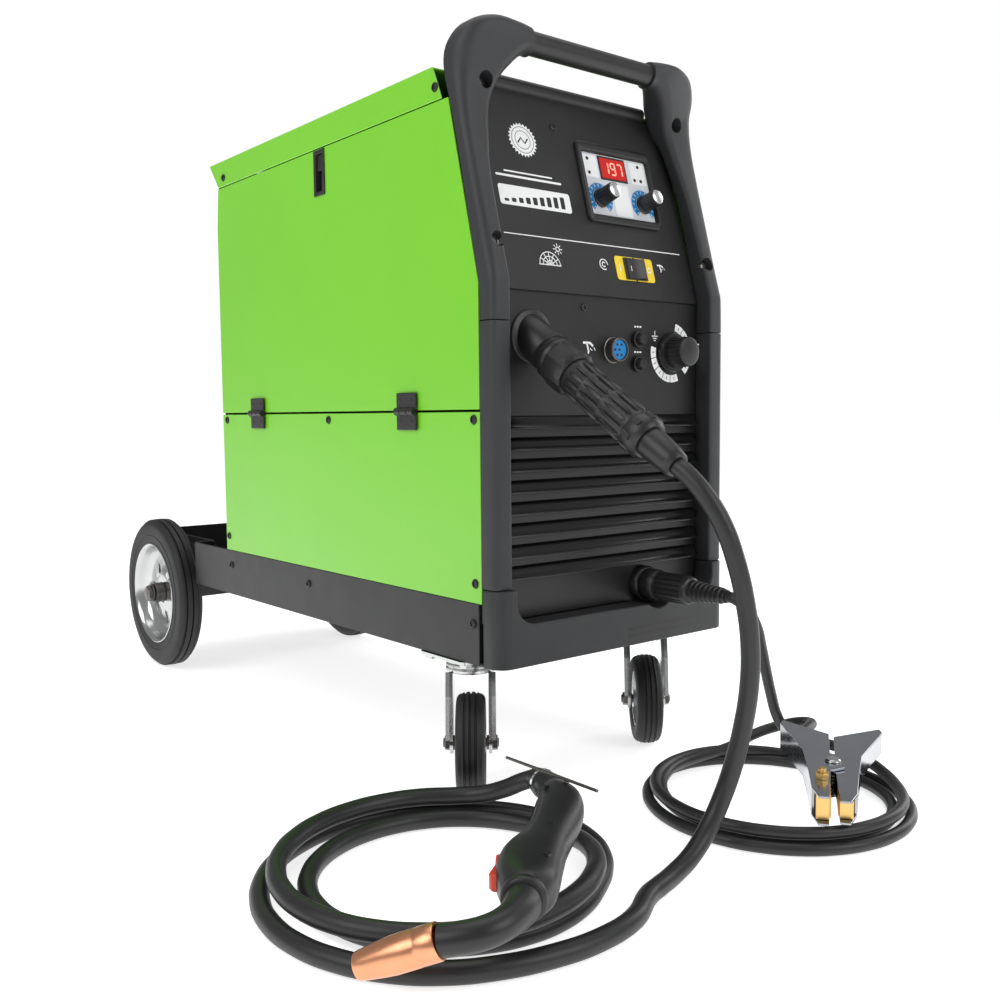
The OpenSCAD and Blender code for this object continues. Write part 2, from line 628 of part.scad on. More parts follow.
base_pan();
bottle_tray();
rear_axle();
divider_wall();
rear_panel();
gas_inlet();
top_cover();
lower_side_panel();
right_side_panel();
left_rail();
right_rail();
handle_bar();
control_panel();
louvre_panel();
bumper();
control_bezel();
control_faceplate();
wire_knob();
volt_knob();
power_rocker();
range_knob();
euro_socket();
control_socket();
upper_breaker();
lower_breaker();
ground_socket();
door();
door_hinge_leaves();
panel_hinge_leaves();
latch_frame();
latch_slider();
case_screws();
left_rear_tyre();
left_rear_rim();
right_rear_tyre();
right_rear_rim();
caster_plates();
left_caster_fork();
right_caster_fork();
left_caster_wheel();
right_caster_wheel();
wire_spool();
wire_feeder();
drive_roll();
pressure_arm();
idle_roll();
transformer();
fan_rotor();
torch_plug();
torch_cable();
torch_coil();
torch_handle();
torch_trigger();
torch_neck();
torch_nozzle();
ground_plug();
ground_cable();
ground_coil();
clamp_lower_jaw();
clamp_upper_jaw();
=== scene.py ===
import math

import bmesh
import bpy
from mathutils import Matrix, Vector


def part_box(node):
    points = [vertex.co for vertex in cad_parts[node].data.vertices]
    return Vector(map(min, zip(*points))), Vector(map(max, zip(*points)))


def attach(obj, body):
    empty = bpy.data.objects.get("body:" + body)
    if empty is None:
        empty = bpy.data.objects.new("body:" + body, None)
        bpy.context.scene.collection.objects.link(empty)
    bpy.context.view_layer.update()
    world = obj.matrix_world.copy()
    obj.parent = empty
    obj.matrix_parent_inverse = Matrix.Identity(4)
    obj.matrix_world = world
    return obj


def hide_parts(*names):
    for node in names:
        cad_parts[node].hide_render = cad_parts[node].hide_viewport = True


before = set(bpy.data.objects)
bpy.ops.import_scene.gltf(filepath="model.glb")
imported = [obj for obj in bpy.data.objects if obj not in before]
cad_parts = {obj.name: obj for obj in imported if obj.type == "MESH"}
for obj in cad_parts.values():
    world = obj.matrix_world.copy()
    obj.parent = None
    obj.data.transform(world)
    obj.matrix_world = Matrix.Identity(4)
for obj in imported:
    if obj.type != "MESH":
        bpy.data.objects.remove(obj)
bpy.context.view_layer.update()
scene = bpy.context.scene
print("frame loaded")

# Work is in millimetres from the cabinet's front edge; each place matrix ends in metres.
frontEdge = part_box("right_side_panel")[0].y
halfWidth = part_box("right_side_panel")[1].x * 1000
cabinet = Matrix.Translation((0, frontEdge, 0)) @ Matrix.Scale(0.001, 4)
whole = Matrix.Scale(0.001, 4)


def turned(x=0, y=0, z=0, about=(0, 0, 0)):
    # A move to a point, then turns about X, Y and Z in degrees.
    turn = Matrix.Rotation(math.radians(z), 4, "Z") @ Matrix.Rotation(math.radians(y), 4, "Y")
    return Matrix.Translation(about) @ turn @ Matrix.Rotation(math.radians(x), 4, "X")


def placed(name, data):
    made = bpy.data.objects.new(name, data)
    scene.collection.objects.link(made)
    return made


def evaluated(made):
    return bpy.data.meshes.new_from_object(made.evaluated_get(bpy.context.evaluated_depsgraph_get()))


def smoothed(mesh, corner):
    mesh.shade_smooth()
    mesh.set_sharp_from_angle(angle=math.radians(corner))
    return mesh


def inlet(node, key):
    # A key such as n6 is a place in the list of inputs, and any other is a name.
    if key[0] == "n" and key[1:].isdigit():
        return node.inputs[int(key[1:])]
    return node.inputs[key.replace("_", " ")]


panelLean = 15.4
panelPlace = cabinet @ turned(x=-panelLean, about=(0, -3, 444))  # X across, Z up the panel
facing = Matrix(((1, 0, 0, 0), (0, 0, -1, 0), (0, 1, 0, 0), (0, 0, 0, 1)))  # drawing to front face
panelFace = panelPlace @ facing
frontFace = cabinet @ facing


# Camera and light
cameraSpec = dict(place=(-0.686, frontEdge - 0.6965, 0.3392), yaw=38.895, pitch=-4.695, roll=-0.525, lens=38.02)


def addCamera(spec):
    yaw, pitch, roll = (math.radians(spec[k]) for k in ("yaw", "pitch", "roll"))
    ahead = Vector((math.sin(yaw) * math.cos(pitch), math.cos(yaw) * math.cos(pitch), math.sin(pitch)))
    right = Vector((math.cos(yaw), -math.sin(yaw), 0))
    up = right.cross(ahead)
    across = right * math.cos(roll) + up * math.sin(roll)
    top = up * math.cos(roll) - right * math.sin(roll)
    data = bpy.data.cameras.new("studioCamera")
    data.lens, data.sensor_width, data.clip_end = spec["lens"], 36, 50
    camera = placed("studioCamera", data)
    turn = Matrix((across, top, -ahead)).transposed().to_4x4()
    camera.matrix_world = Matrix.Translation(spec["place"]) @ turn
    scene.camera = camera


def addLight(name, place, target, size, power, colour=(1, 1, 1)):
    data = bpy.data.lights.new(name, "AREA")
    data.shape, data.size, data.size_y = "RECTANGLE", size[0], size[1]
    data.energy, data.color = power, colour
    light = placed(name, data)
    aim = (Vector(target) - Vector(place)).to_track_quat("-Z", "Y")
    light.matrix_world = Matrix.Translation(place) @ aim.to_matrix().to_4x4()


addCamera(cameraSpec)
addLight("leftSoftbox", (-2.4, -0.3, 1.9), (0, 0, 0.3), (1.8, 1.8), 27)
addLight("frontSoftbox", (0.6, -2.7, 1.7), (0, -0.2, 0.3), (1.6, 1.6), 24)
addLight("topSoftbox", (0.2, 0.1, 2.6), (0, 0, 0), (2.2, 2.2), 20)
addLight("rightStrip", (2.2, -0.6, 1.0), (0, -0.2, 0.4), (0.7, 1.8), 13)
world = bpy.data.worlds.new("studioWorld")
world.use_nodes = True
# The camera sees a white room, and the object is lit by a dimmer one.
worldShare = dict(seen=1.0, lit=0.34)
backdrop = world.node_tree.nodes["Background"]
backdrop.inputs[0].default_value = (1, 1, 1, 1)
rays = world.node_tree.nodes.new("ShaderNodeLightPath")
level = world.node_tree.nodes.new("ShaderNodeMapRange")
level.inputs["To Min"].default_value = worldShare["lit"]
level.inputs["To Max"].default_value = worldShare["seen"]
world.node_tree.links.new(rays.outputs["Is Camera Ray"], level.inputs["Value"])
world.node_tree.links.new(level.outputs["Result"], backdrop.inputs[1])
scene.world = world
scene.view_settings.view_transform = "Standard"
print("camera and light")


# Finishes
class Signal:
    # A shader socket that takes part in sums.
    def __init__(self, tree, socket):
        self.tree, self.socket = tree, socket

    def maths(self, kind, *values):
        node = self.tree.nodes.new("ShaderNodeMath")
        node.operation = kind
        for slot, value in zip(node.inputs, values):
            if isinstance(value, Signal):
                self.tree.links.new(value.socket, slot)
            else:
                slot.default_value = value
        return Signal(self.tree, node.outputs[0])

    def __add__(self, other):
        return self.maths("ADD", self, other)

    def __sub__(self, other):
        return self.maths("SUBTRACT", self, other)

    def __rsub__(self, other):
        return self.maths("SUBTRACT", other, self)

    def __mul__(self, other):
        return self.maths("MULTIPLY", self, other)

    __radd__, __rmul__ = __add__, __mul__


class Finish:
    def __init__(self, name, colour, rough, metal=0.0, **constant):
        self.material = bpy.data.materials.new(name)
        self.material.use_nodes = True
        self.tree = self.material.node_tree
        self.shader = self.tree.nodes["Principled BSDF"]
        self.place = self.node("ShaderNodeTexCoord")["Object"]
        self.set("Base Color", (*colour, 1))
        self.set("Roughness", rough)
        self.set("Metallic", metal)
        for key, value in constant.items():
            self.set(key.replace("_", " "), value)

    def node(self, kind, settings=None, **values):
        made = self.tree.nodes.new(kind)
        for key, value in (settings or {}).items():
            if key == "stops":
                for i, (spot, shade) in enumerate(value):
                    ramp = made.color_ramp.elements
                    stop = ramp[i] if i < 2 else ramp.new(spot)
                    stop.position, stop.color = spot, shade
            else:
                setattr(made, key, value)
        for key, value in values.items():
            slot = inlet(made, key)
            if isinstance(value, Signal):
                self.tree.links.new(value.socket, slot)
            else:
                slot.default_value = value
        return {o.name: Signal(self.tree, o) for o in made.outputs if o.enabled}

    def set(self, name, value):
        if isinstance(value, Signal):
            self.tree.links.new(value.socket, self.shader.inputs[name])
        else:
            self.shader.inputs[name].default_value = value
        return self

    def noise(self, scale, detail=2.0, stretch=None, rough=0.5):
        place = self.place
        if stretch:
            place = self.node("ShaderNodeMapping", Vector=place, Scale=stretch)["Vector"]
        made = self.node("ShaderNodeTexNoise", Vector=place, Scale=scale, Detail=detail, Roughness=rough)
        return made.get("Fac") or made["Factor"]

    def mix(self, share, first, second):
        made = self.node("ShaderNodeMix", {"data_type": "RGBA"}, n0=share, n6=first, n7=second)
        return made["Result"]

    def bump(self, height, depth, strength=1.0):
        normal = self.node("ShaderNodeBump", Height=height, Distance=depth, Strength=strength)["Normal"]
        return self.set("Normal", normal)


def shade(colour, factor):
    return tuple(c * factor for c in colour) + (1,)


def surface(name, colour, rough, metal=0.0, vary=0.12, varyScale=14, grain=None, smear=0.06, stretch=None,
            **constant):
    # Colour drifts slowly, gloss is smeared a little, and a fine grain stands up from the surface.
    made = Finish(name, colour, rough, metal, **constant)
    drift = made.noise(varyScale, 4.0)
    made.set("Base Color", made.mix(drift, shade(colour, 1 - vary), shade(colour, 1 + vary)))
    made.set("Roughness", (made.noise(varyScale * 3.1, 5.0, stretch) - 0.5) * (smear * 2) + rough)
    if grain:
        made.bump(made.noise(grain[0], 2.0, stretch), grain[1], 0.6)
    return made


finishes = dict(
    green=surface("greenPaint", (0.19, 0.60, 0.02), 0.34, vary=0.05, varyScale=5, grain=(900, 0.00005),
                  Coat_Weight=0.35, Coat_Roughness=0.18),
    blackSteel=surface("blackSteelPaint", (0.011, 0.011, 0.012), 0.42, vary=0.25, grain=(1500, 0.00006)),
    charcoal=surface("charcoalPlastic", (0.021, 0.022, 0.024), 0.5, vary=0.18, grain=(1700, 0.00022)),
    satin=surface("blackSatinPanel", (0.0075, 0.0075, 0.008), 0.4, vary=0.2, grain=(1300, 0.00005)),
    moulded=surface("blackMoulding", (0.012, 0.012, 0.013), 0.38, vary=0.2, grain=(1500, 0.00008)),
    tyre=surface("tyreRubber", (0.012, 0.012, 0.0125), 0.58, vary=0.3, grain=(700, 0.0001)),
    cable=surface("cableJacket", (0.0125, 0.0125, 0.0135), 0.42, vary=0.25, grain=(900, 0.00008)),
    zinc=surface("zincPlate", (0.56, 0.57, 0.57), 0.2, 1.0, vary=0.16, varyScale=28, grain=(500, 0.00004)),
    chrome=surface("chromeSteel", (0.78, 0.79, 0.8), 0.12, 1.0, vary=0.06, smear=0.04),
    grey=surface("greySteelPaint", (0.33, 0.34, 0.35), 0.5, vary=0.08, grain=(900, 0.0001)),
    cast=surface("castFeeder", (0.42, 0.43, 0.44), 0.48, 0.8, vary=0.12, grain=(420, 0.0003)),
    steel=surface("groundSteel", (0.55, 0.55, 0.55), 0.28, 1.0, vary=0.1, stretch=(1, 12, 12)),
    core=surface("varnishedCore", (0.16, 0.11, 0.07), 0.5, vary=0.3, varyScale=60, grain=(300, 0.0004)),
    brass=surface("brassBlocks", (0.72, 0.47, 0.17), 0.3, 1.0, vary=0.2, varyScale=70, grain=(500, 0.00008)),
    copper=surface("drawnCopper", (0.78, 0.36, 0.2), 0.3, 1.0, vary=0.16, varyScale=60, stretch=(9, 1, 1),
                   grain=(420, 0.00005)),
    red=surface("redTrigger", (0.72, 0.06, 0.03), 0.38, vary=0.08, grain=(900, 0.00006)),
    blue=surface("bluePlastic", (0.01, 0.2, 0.5), 0.3, vary=0.1),
    plated=surface("bluishPlate", (0.36, 0.38, 0.41), 0.16, 1.0, vary=0.2, varyScale=30, smear=0.08),
    gloss=surface("glossBlackLip", (0.006, 0.006, 0.0065), 0.2, vary=0.15),
    shell=surface("darkPlatedShell", (0.16, 0.15, 0.14), 0.32, 0.9, vary=0.2, varyScale=60),
    print=surface("whitePrint", (0.82, 0.83, 0.83), 0.5, vary=0.03, varyScale=120),
    yellow=surface("yellowPlate", (0.85, 0.62, 0.02), 0.45, vary=0.05, varyScale=60),
    foil=surface("dialFoil", (0.62, 0.65, 0.68), 0.35, vary=0.06, varyScale=50, grain=(1200, 0.00003)),
    silver=surface("silverCap", (0.7, 0.71, 0.72), 0.25, 0.9, vary=0.06, stretch=(1, 1, 1)),
    lamp=surface("redDisplay", (0.35, 0.01, 0.01), 0.2, vary=0.05, Emission_Color=(1, 0.02, 0.01, 1),
                 Emission_Strength=0.25),
    glow=surface("litDigits", (1, 0.1, 0.08), 0.3, vary=0.02, Emission_Color=(1, 0.25, 0.18, 1),
                 Emission_Strength=2.2),
    floor=surface("paleFloor", (0.92, 0.92, 0.92), 0.8, vary=0.01, varyScale=2, Emission_Color=(1, 1, 1, 1),
                  Emission_Strength=0.7),
    spoolPlastic=surface("spoolPlastic", (0.03, 0.03, 0.032), 0.45, vary=0.15, grain=(900, 0.00008)),
)
print("finishes", len(finishes))


# Mesh building
class Shape:
    # Gathers simple solids into one mesh; each keeps the finish in use when it was added.
    def __init__(self, place, finish):
        self.place, self.points, self.faces, self.kinds, self.finishes = place, [], [], [], []
        self.use(finish)

    def use(self, finish):
        if finish not in self.finishes:
            self.finishes.append(finish)
        self.kind = self.finishes.index(finish)
        return self

    def add(self, points, faces, local=None):
        base = len(self.points)
        place = self.place @ local if local else self.place
        self.points += [place @ Vector(p) for p in points]
        self.faces += [[base + i for i in face] for face in faces]
        self.kinds += [self.kind] * len(faces)
        return self

    def rings(self, rings, local=None, loop=False, capped=True):
        count = len(rings[0])
        pairs = [(i, (i + 1) % len(rings)) for i in range(len(rings) if loop else len(rings) - 1)]
        faces = [
            [a * count + j, a * count + (j + 1) % count, b * count + (j + 1) % count, b * count + j]
            for a, b in pairs
            for j in range(count)
        ]
        if capped and not loop:
            faces += [list(range(count))[::-1], [(len(rings) - 1) * count + j for j in range(count)]]
        return self.add([p for ring in rings for p in ring], faces, local)

    def lathe(self, profile, local=None, steps=64, bored=False):
        # Profile of radius and height about local Z. A bored profile is a closed loop.
        rings = []
        for radius, height in profile:
            radius = max(radius, 0.02)
            rings.append([
                (radius * math.cos(2 * math.pi * j / steps), radius * math.sin(2 * math.pi * j / steps), height)
                for j in range(steps)
            ])
        return self.rings(rings, local, loop=bored, capped=not bored)

    def prism(self, outline, low, high, local=None):
        return self.rings([[(x, y, low) for x, y in outline], [(x, y, high) for x, y in outline]], local)

    def block(self, low, high, local=None):
        (x0, y0, z0), (x1, y1, z1) = low, high
        return self.prism([(x0, y0), (x1, y0), (x1, y1), (x0, y1)], z0, z1, local)

    def piece(self, name, body="cart", slot=None, stands=(), edge=0.0, steps=2, corner=35, limit=32):
        mesh = bpy.data.meshes.new(name)
        mesh.from_pydata(self.points, [], self.faces)
        for finish in self.finishes:
            mesh.materials.append(finishes[finish].material)
        mesh.polygons.foreach_set("material_index", self.kinds)
        work = bmesh.new()
        work.from_mesh(mesh)
        bmesh.ops.remove_doubles(work, verts=work.verts, dist=1e-6)
        bmesh.ops.recalc_face_normals(work, faces=work.faces)
        work.to_mesh(mesh)
        work.free()
        made = placed(name, smoothed(mesh, corner))
        if edge:
            bevel = made.modifiers.new("edge", "BEVEL")
            bevel.width, bevel.segments, bevel.limit_method = edge / 1000, steps, "ANGLE"
            bevel.angle_limit, bevel.harden_normals = math.radians(limit), True
        return settle(made, body, stands)


def settle(made, body="cart", stands=()):
    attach(made, body)
    if stands:
        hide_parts(*stands)
    return made


def roundedOutline(x0, y0, x1, y1, radius, steps=6):
    # Corner radii go round from the low corner: low-low, high-low, high-high, low-high.
    radii = radius if isinstance(radius, (list, tuple)) else [radius] * 4
    corners = [(x0, y0, 1, 1, 180), (x1, y0, -1, 1, 270), (x1, y1, -1, -1, 0), (x0, y1, 1, -1, 90)]
    outline = []
    for (x, y, sx, sy, start), r in zip(corners, radii):
        for i in range(steps + 1):
            angle = math.radians(start + 90 * i / steps)
            outline.append((x + sx * r + r * math.cos(angle), y + sy * r + r * math.sin(angle)))
    return outline


def circle(radius, steps=48, x=0.0, y=0.0, start=0.0, end=360.0):
    whole = abs(end - start) >= 360
    count = steps if whole else steps + 1
    return [
        (x + radius * math.cos(math.radians(start + (end - start) * i / steps)),
         y + radius * math.sin(math.radians(start + (end - start) * i / steps)))
        for i in range(count)
    ]


def band(inner, outer, start, end, x=0.0, y=0.0, steps=16):
    return circle(outer, steps, x, y, start, end) + circle(inner, steps, x, y, end, start)


def strip(points, width):
    # A flat line of that width through 2-D points.
    left, right = [], []
    for i, point in enumerate(points):
        a = Vector(points[max(i - 1, 0)])
        b = Vector(points[min(i + 1, len(points) - 1)])
        side = (b - a).normalized().orthogonal() * width / 2
        left.append(tuple(Vector(point) + side))
        right.append(tuple(Vector(point) - side))
    return left + right[::-1]


def paintNode(name, finish):
    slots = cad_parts[name].data.materials
    for i in range(max(1, len(slots))):
        if i < len(slots):
            slots[i] = finishes[finish].material
        else:
            slots.append(finishes[finish].material)


nodeFinishes = dict(
    green=["top_cover", "lower_side_panel", "right_side_panel", "door"],
    blackSteel=["base_pan", "bottle_tray", "rear_panel", "door_hinge_leaves", "panel_hinge_leaves",
                "case_screws"],
    zinc=["rear_axle", "left_rear_rim", "right_rear_rim", "caster_plates", "left_caster_fork",
          "right_caster_fork", "clamp_lower_jaw", "clamp_upper_jaw"],
    grey=["divider_wall"],
    charcoal=["left_rail", "right_rail", "bumper"],
    satin=["handle_bar", "control_panel", "louvre_panel"],
    moulded=["control_bezel", "wire_knob", "volt_knob", "power_rocker", "range_knob", "euro_socket",
             "upper_breaker", "lower_breaker", "ground_socket", "latch_frame", "latch_slider", "torch_plug",
             "torch_handle", "ground_plug", "pressure_arm", "fan_rotor", "torch_neck"],
    foil=["control_faceplate"],
    blue=["control_socket"],
    tyre=["left_rear_tyre", "right_rear_tyre", "left_caster_wheel", "right_caster_wheel"],
    cast=["wire_feeder"],
    steel=["drive_roll", "idle_roll"],
    core=["transformer"],
    brass=["gas_inlet"],
    red=["torch_trigger"],
    copper=["torch_nozzle", "wire_spool"],
    cable=["torch_cable", "torch_coil", "ground_cable", "ground_coil"],
)
for finish, names in nodeFinishes.items():
    for name in names:
        paintNode(name, finish)

floor = bpy.data.meshes.new("studioFloor")
floor.from_pydata([(-40, -40, 0), (40, -40, 0), (40, 40, 0), (-40, 40, 0)], [], [(0, 1, 2, 3)])
floor.materials.append(finishes["floor"].material)
floorObject = placed("studioFloor", floor)

# The two leads
torchLead = dict(
    diameter=14.5, centre=(-256, -483), start=-51.5, sweep=980,
    radii=[(0, 144.5), (60, 131.7), (290, 131.7), (370, 104), (650, 104), (730, 114), (980, 118)],
    heights=[(0, 7.6), (640, 7.6), (730, 22.1), (1000, 22.6)],
    drift=([(0, 0), (290, 0), (370, 7), (650, 7), (730, -5), (1000, 0)],
           [(0, 0), (290, 0), (370, 2), (650, 2), (730, 5), (1000, 3)]),
    route=[(-88, -551, 298.5), (-87, -562, 291), (-84, -576, 276), (-79, -587, 256), (-73, -594, 230),
           (-67, -598, 200), (-62, -599, 168), (-60, -597, 136), (-60, -592, 106), (-63, -586, 76),
           (-70, -581, 50), (-84, -579, 28), (-104, -581, 14), (-130, -586, 8), (-152, -592, 7.6),
           (-166, -596, 7.6)],
    last=[(-164, -408, 25.5), (-155, -424, 32), (-150.5, -441, 41.5), (-150.5, -457.8, 49.5)],
)
groundLead = dict(
    diameter=10, centre=(57, -536), start=20.4, sweep=1015,
    radii=[(0, 108.9), (70, 103), (300, 103), (390, 109.6), (640, 109.6), (740, 96), (900, 93), (1015, 100)],
    heights=[(0, 26.4), (70, 15.4), (300, 15.4), (400, 5.3), (900, 5.3), (1015, 13)],
    drift=([(0, 0), (1000, 0)], [(0, 0), (1000, 0)]),
    route=[(49, -488, 176), (49.5, -497, 174.5), (53, -506, 167), (61, -510, 152), (73, -507, 130),
           (86, -502, 108), (102, -496, 82), (120, -490, 56), (138, -487, 38), (152, -490, 29),
           (159, -498, 26.4)],
    last=[(112, -444, 17), (136, -449, 24), (158, -461, 31), (170, -478, 37), (166, -495, 41), (150, -505, 43),
          (131, -512, 43)],
)


def ease(value, stops):
    # Smooth steps between (position, value) stops.
    for (a, low), (b, high) in zip(stops, stops[1:]):
        if value <= b:
            share = min(max((value - a) / (b - a), 0), 1)
            return low + (high - low) * share * share * (3 - 2 * share)
    return stops[-1][1]


def leadPoints(lead, step=15):
    # The route down from the socket, then the coil, then the end that rises to the tool.
    count = int(lead["sweep"] / step)
    coil = []
    for i in range(1, count + 1):
        turn = lead["sweep"] * i / count
        angle = math.radians(lead["start"] - turn)
        across, along = (ease(turn, stops) for stops in lead["drift"])
        radius = ease(turn, lead["radii"])
        coil.append((lead["centre"][0] + across + radius * math.cos(angle),
                     lead["centre"][1] + along + radius * math.sin(angle), ease(turn, lead["heights"])))
    return lead["route"] + coil + lead["last"]


def addLead(name, points, diameter):
    curve = bpy.data.curves.new(name, "CURVE")
    curve.dimensions, curve.bevel_depth, curve.bevel_resolution = "3D", diameter / 2000, 6
    curve.resolution_u, curve.use_fill_caps = 6, True
    spline = curve.splines.new("BEZIER")
    spline.bezier_points.add(len(points) - 1)
    for knot, point in zip(spline.bezier_points, points):
        knot.co = Vector(point) / 1000
        knot.handle_left_type = knot.handle_right_type = "AUTO"
    curve.materials.append(finishes["cable"].material)
    return placed(name, curve)


def curveLength(made):
    return sum(s.calc_length() for s in made.data.splines)


torchCord = addLead("torchLead", leadPoints(torchLead), torchLead["diameter"])
groundCord = addLead("groundLead", leadPoints(groundLead), groundLead["diameter"])
bpy.context.view_layer.update()
print("leads", round(curveLength(torchCord), 3), round(curveLength(groundCord), 3))

# Rails, posts and the front sheet
railSpec = dict(screwUpper=(116.6, 27.9, 619.8), screwLower=(131.3, -10.0, 482.7), recess=6.2)


def railRing(inner, outer, front, rear, radii):
    # One section of the left rail, spanned by its inner and outer points and by Y.
    inner, outer = Vector(inner), Vector(outer)
    width = (outer - inner).length
    across = (outer - inner) / width
    most = 0.49 * min(width, rear - front)
    outline = roundedOutline(0, front, width, rear, [min(r, most) for r in radii], 7)
    return [(inner.x + across.x * u, v, inner.y + across.y * u) for u, v in outline]


railSections = [
    ((-126, 416), (-145, 416), -19, 0, (2.5, 6, 1, 1)),
    ((-126, 446), (-145, 446), -19, 0, (2.5, 7, 1, 1)),
    ((-126, 456), (-145, 456), -17.6, 2.6, (3, 8, 1, 1)),
    ((-125.5, 480), (-145, 480), -11.3, 8.2, (4, 9, 1.5, 1.5)),
    ((-124, 537), (-145, 537), 4.5, 21.3, (5, 10, 2, 2)),
    ((-119.5, 568), (-145, 568), 12.6, 29.4, (6, 12, 3, 3)),
    ((-113, 597), (-145, 600), 19.3, 38.5, (8, 15, 4, 4)),
    ((-106.5, 614), (-145.5, 628), 20, 48, (9, 16, 7, 6)),
    ((-100, 627), (-144.5, 648), 15.5, 49, (10, 14, 10, 9)),
    ((-93, 636), (-134, 665), 11, 46, (11, 12, 13, 12)),
    ((-86, 643), (-114, 672.5), 7.6, 40, (12, 12, 14, 13)),
    ((-79, 646.5), (-92, 672.5), 6.4, 34, (12.5, 12.5, 13, 13)),
    ((-74, 646), (-76, 670.6), 6.4, 31.8, (12.2, 12.2, 12.2, 12.2)),
]


def between(a, b, c, d, t):
    # A smooth curve's value between b and c.
    return 0.5 * (2 * b + (c - a) * t + (2 * a - 5 * b + 4 * c - d) * t * t + (3 * b - a - 3 * c + d) * t ** 3)


def around(items, i):
    return [items[min(max(k, 0), len(items) - 1)] for k in (i - 1, i, i + 1, i + 2)]


def smoothRings(rings, fine=4):
    # Adds rings between the given ones on a smooth curve through them.
    made = []
    for i in range(len(rings) - 1):
        near = around(rings, i)
        for k in range(fine):
            made.append([tuple(between(*values, k / fine) for values in zip(*corner)) for corner in zip(*near)])
    return made + [rings[-1]]


flip = Matrix.Scale(-1, 4, (1, 0, 0))


def cutHoles(made, places, radius, depth, aims):
    # Sunk screw seats, with the cutters removed afterwards.
    cutter = Shape(whole, "charcoal")
    for place, aim in zip(places, aims):
        turn = Vector(aim).to_track_quat("Z", "Y").to_matrix().to_4x4()
        cutter.lathe([(0, -depth), (radius, -depth), (radius + 1.2, depth), (0, depth)],
                     Matrix.Translation(Vector(place) + Vector((0, frontEdge * 1000, 0))) @ turn, 28)
    tool = cutter.piece("seatCutter")
    cut = made.modifiers.new("seats", "BOOLEAN")
    cut.object, cut.operation, cut.solver = tool, "DIFFERENCE", "EXACT"
    result = evaluated(made)
    made.modifiers.remove(cut)
    result.materials.clear()
    result.materials.append(finishes["charcoal"].material)
    result.polygons.foreach_set("material_index", [0] * len(result.polygons))
    made.data = smoothed(result, 38)
    bpy.data.objects.remove(tool)


screwAim = Vector((0, -math.cos(math.radians(15.5)), math.sin(math.radians(15.5))))
for side, place in (("left", Matrix()), ("right", flip)):
    rail = Shape(cabinet @ place, "charcoal")
    rail.rings(smoothRings([railRing(*section) for section in railSections]))
    rail = rail.piece(side + "Rail", slot="charcoal_plastic", stands=(side + "_rail",), corner=50)
    sign = -1 if side == "left" else 1
    upper, lower = railSpec["screwUpper"], railSpec["screwLower"]
    cutHoles(rail, [(sign * (upper[0] + 2), 22.5, upper[2] - 1), (sign * lower[0], lower[1] - 1, lower[2])],
             railSpec["recess"], 8, [Vector((sign * 0.1, -1, 0.05)), screwAim])

postSpec = dict(outer=-145, front=-19, inner=-126, rear=-0.1, foot=191.5, head=415.3)
louvreSpec = dict(count=8, pitch=18.5, top=327.5)
breakerPlaces = dict(upper=(43, 407), lower=(43, 384))
frontPanel = Shape(cabinet, "charcoal")
for place in (Matrix(), flip):
    outline = roundedOutline(postSpec["outer"], postSpec["front"], postSpec["inner"], postSpec["rear"],
                             [6, 2.5, 0.6, 0.6], 5)
    frontPanel.prism(outline, postSpec["foot"], postSpec["head"], place)
frontPanel.piece("cornerPosts", slot="charcoal_plastic", corner=45, edge=0.6)

panelSheet = Shape(cabinet, "satin")
panelSheet.block((-143, 0, 161), (143, 2.6, 443.4))
for x, z in breakerPlaces.values():
    panelSheet.lathe([(5.3, 0), (7.6, 0), (7.6, 3.4), (6.9, 4), (5.3, 4)], facing @ turned(about=(x, z, 0)),
                     40, bored=True)
panelSheet.piece("frontSheet", slot="black_satin", stands=("louvre_panel",), corner=40, edge=0.3)


# What repeats
def makeTree(name, sizes):
    tree = bpy.data.node_groups.new(name, "GeometryNodeTree")
    face = tree.interface
    face.new_socket("Geometry", in_out="INPUT", socket_type="NodeSocketGeometry")
    keys = {}
    for key, (kind, value) in sizes.items():
        made = face.new_socket(key, in_out="INPUT", socket_type=kind)
        if value is not None:
            made.default_value = value
        keys[key] = made.identifier
    face.new_socket("Geometry", in_out="OUTPUT", socket_type="NodeSocketGeometry")
    return tree, keys


def wire(tree, kind, settings=None, **links):
    made = tree.nodes.new(kind)
    for key, value in (settings or {}).items():
        setattr(made, key, value)
    for key, value in links.items():
        slot = inlet(made, key)
        if isinstance(value, bpy.types.NodeSocket):
            tree.links.new(value, slot)
        else:
            slot.default_value = value
    return made


def copies(tree, given, points, **placing):
    # The given solid on each point, joined and coated.
    solid = wire(tree, "GeometryNodeObjectInfo", Object=given.outputs["Solid"])
    spread = wire(tree, "GeometryNodeInstanceOnPoints", Points=points, Instance=solid.outputs["Geometry"],
                  **placing)
    real = wire(tree, "GeometryNodeRealizeInstances", Geometry=spread.outputs["Instances"])
    coat = wire(tree, "GeometryNodeSetMaterial", Geometry=real.outputs["Geometry"],
                Material=given.outputs["Finish"])
    wire(tree, "NodeGroupOutput", Geometry=coat.outputs["Geometry"])


def rowTree():
    # Copies of one solid along a straight step.
    tree, keys = makeTree("evenRow", {"Solid": ("NodeSocketObject", None), "Count": ("NodeSocketInt", 8),
                                      "Step": ("NodeSocketVector", (0, 0, 0.01)),
                                      "Finish": ("NodeSocketMaterial", None)})
    given = tree.nodes.new("NodeGroupInput")
    line = wire(tree, "GeometryNodeMeshLine", {"mode": "OFFSET"}, Count=given.outputs["Count"],
                Offset=given.outputs["Step"])
    copies(tree, given, line.outputs["Mesh"])
    return tree, keys


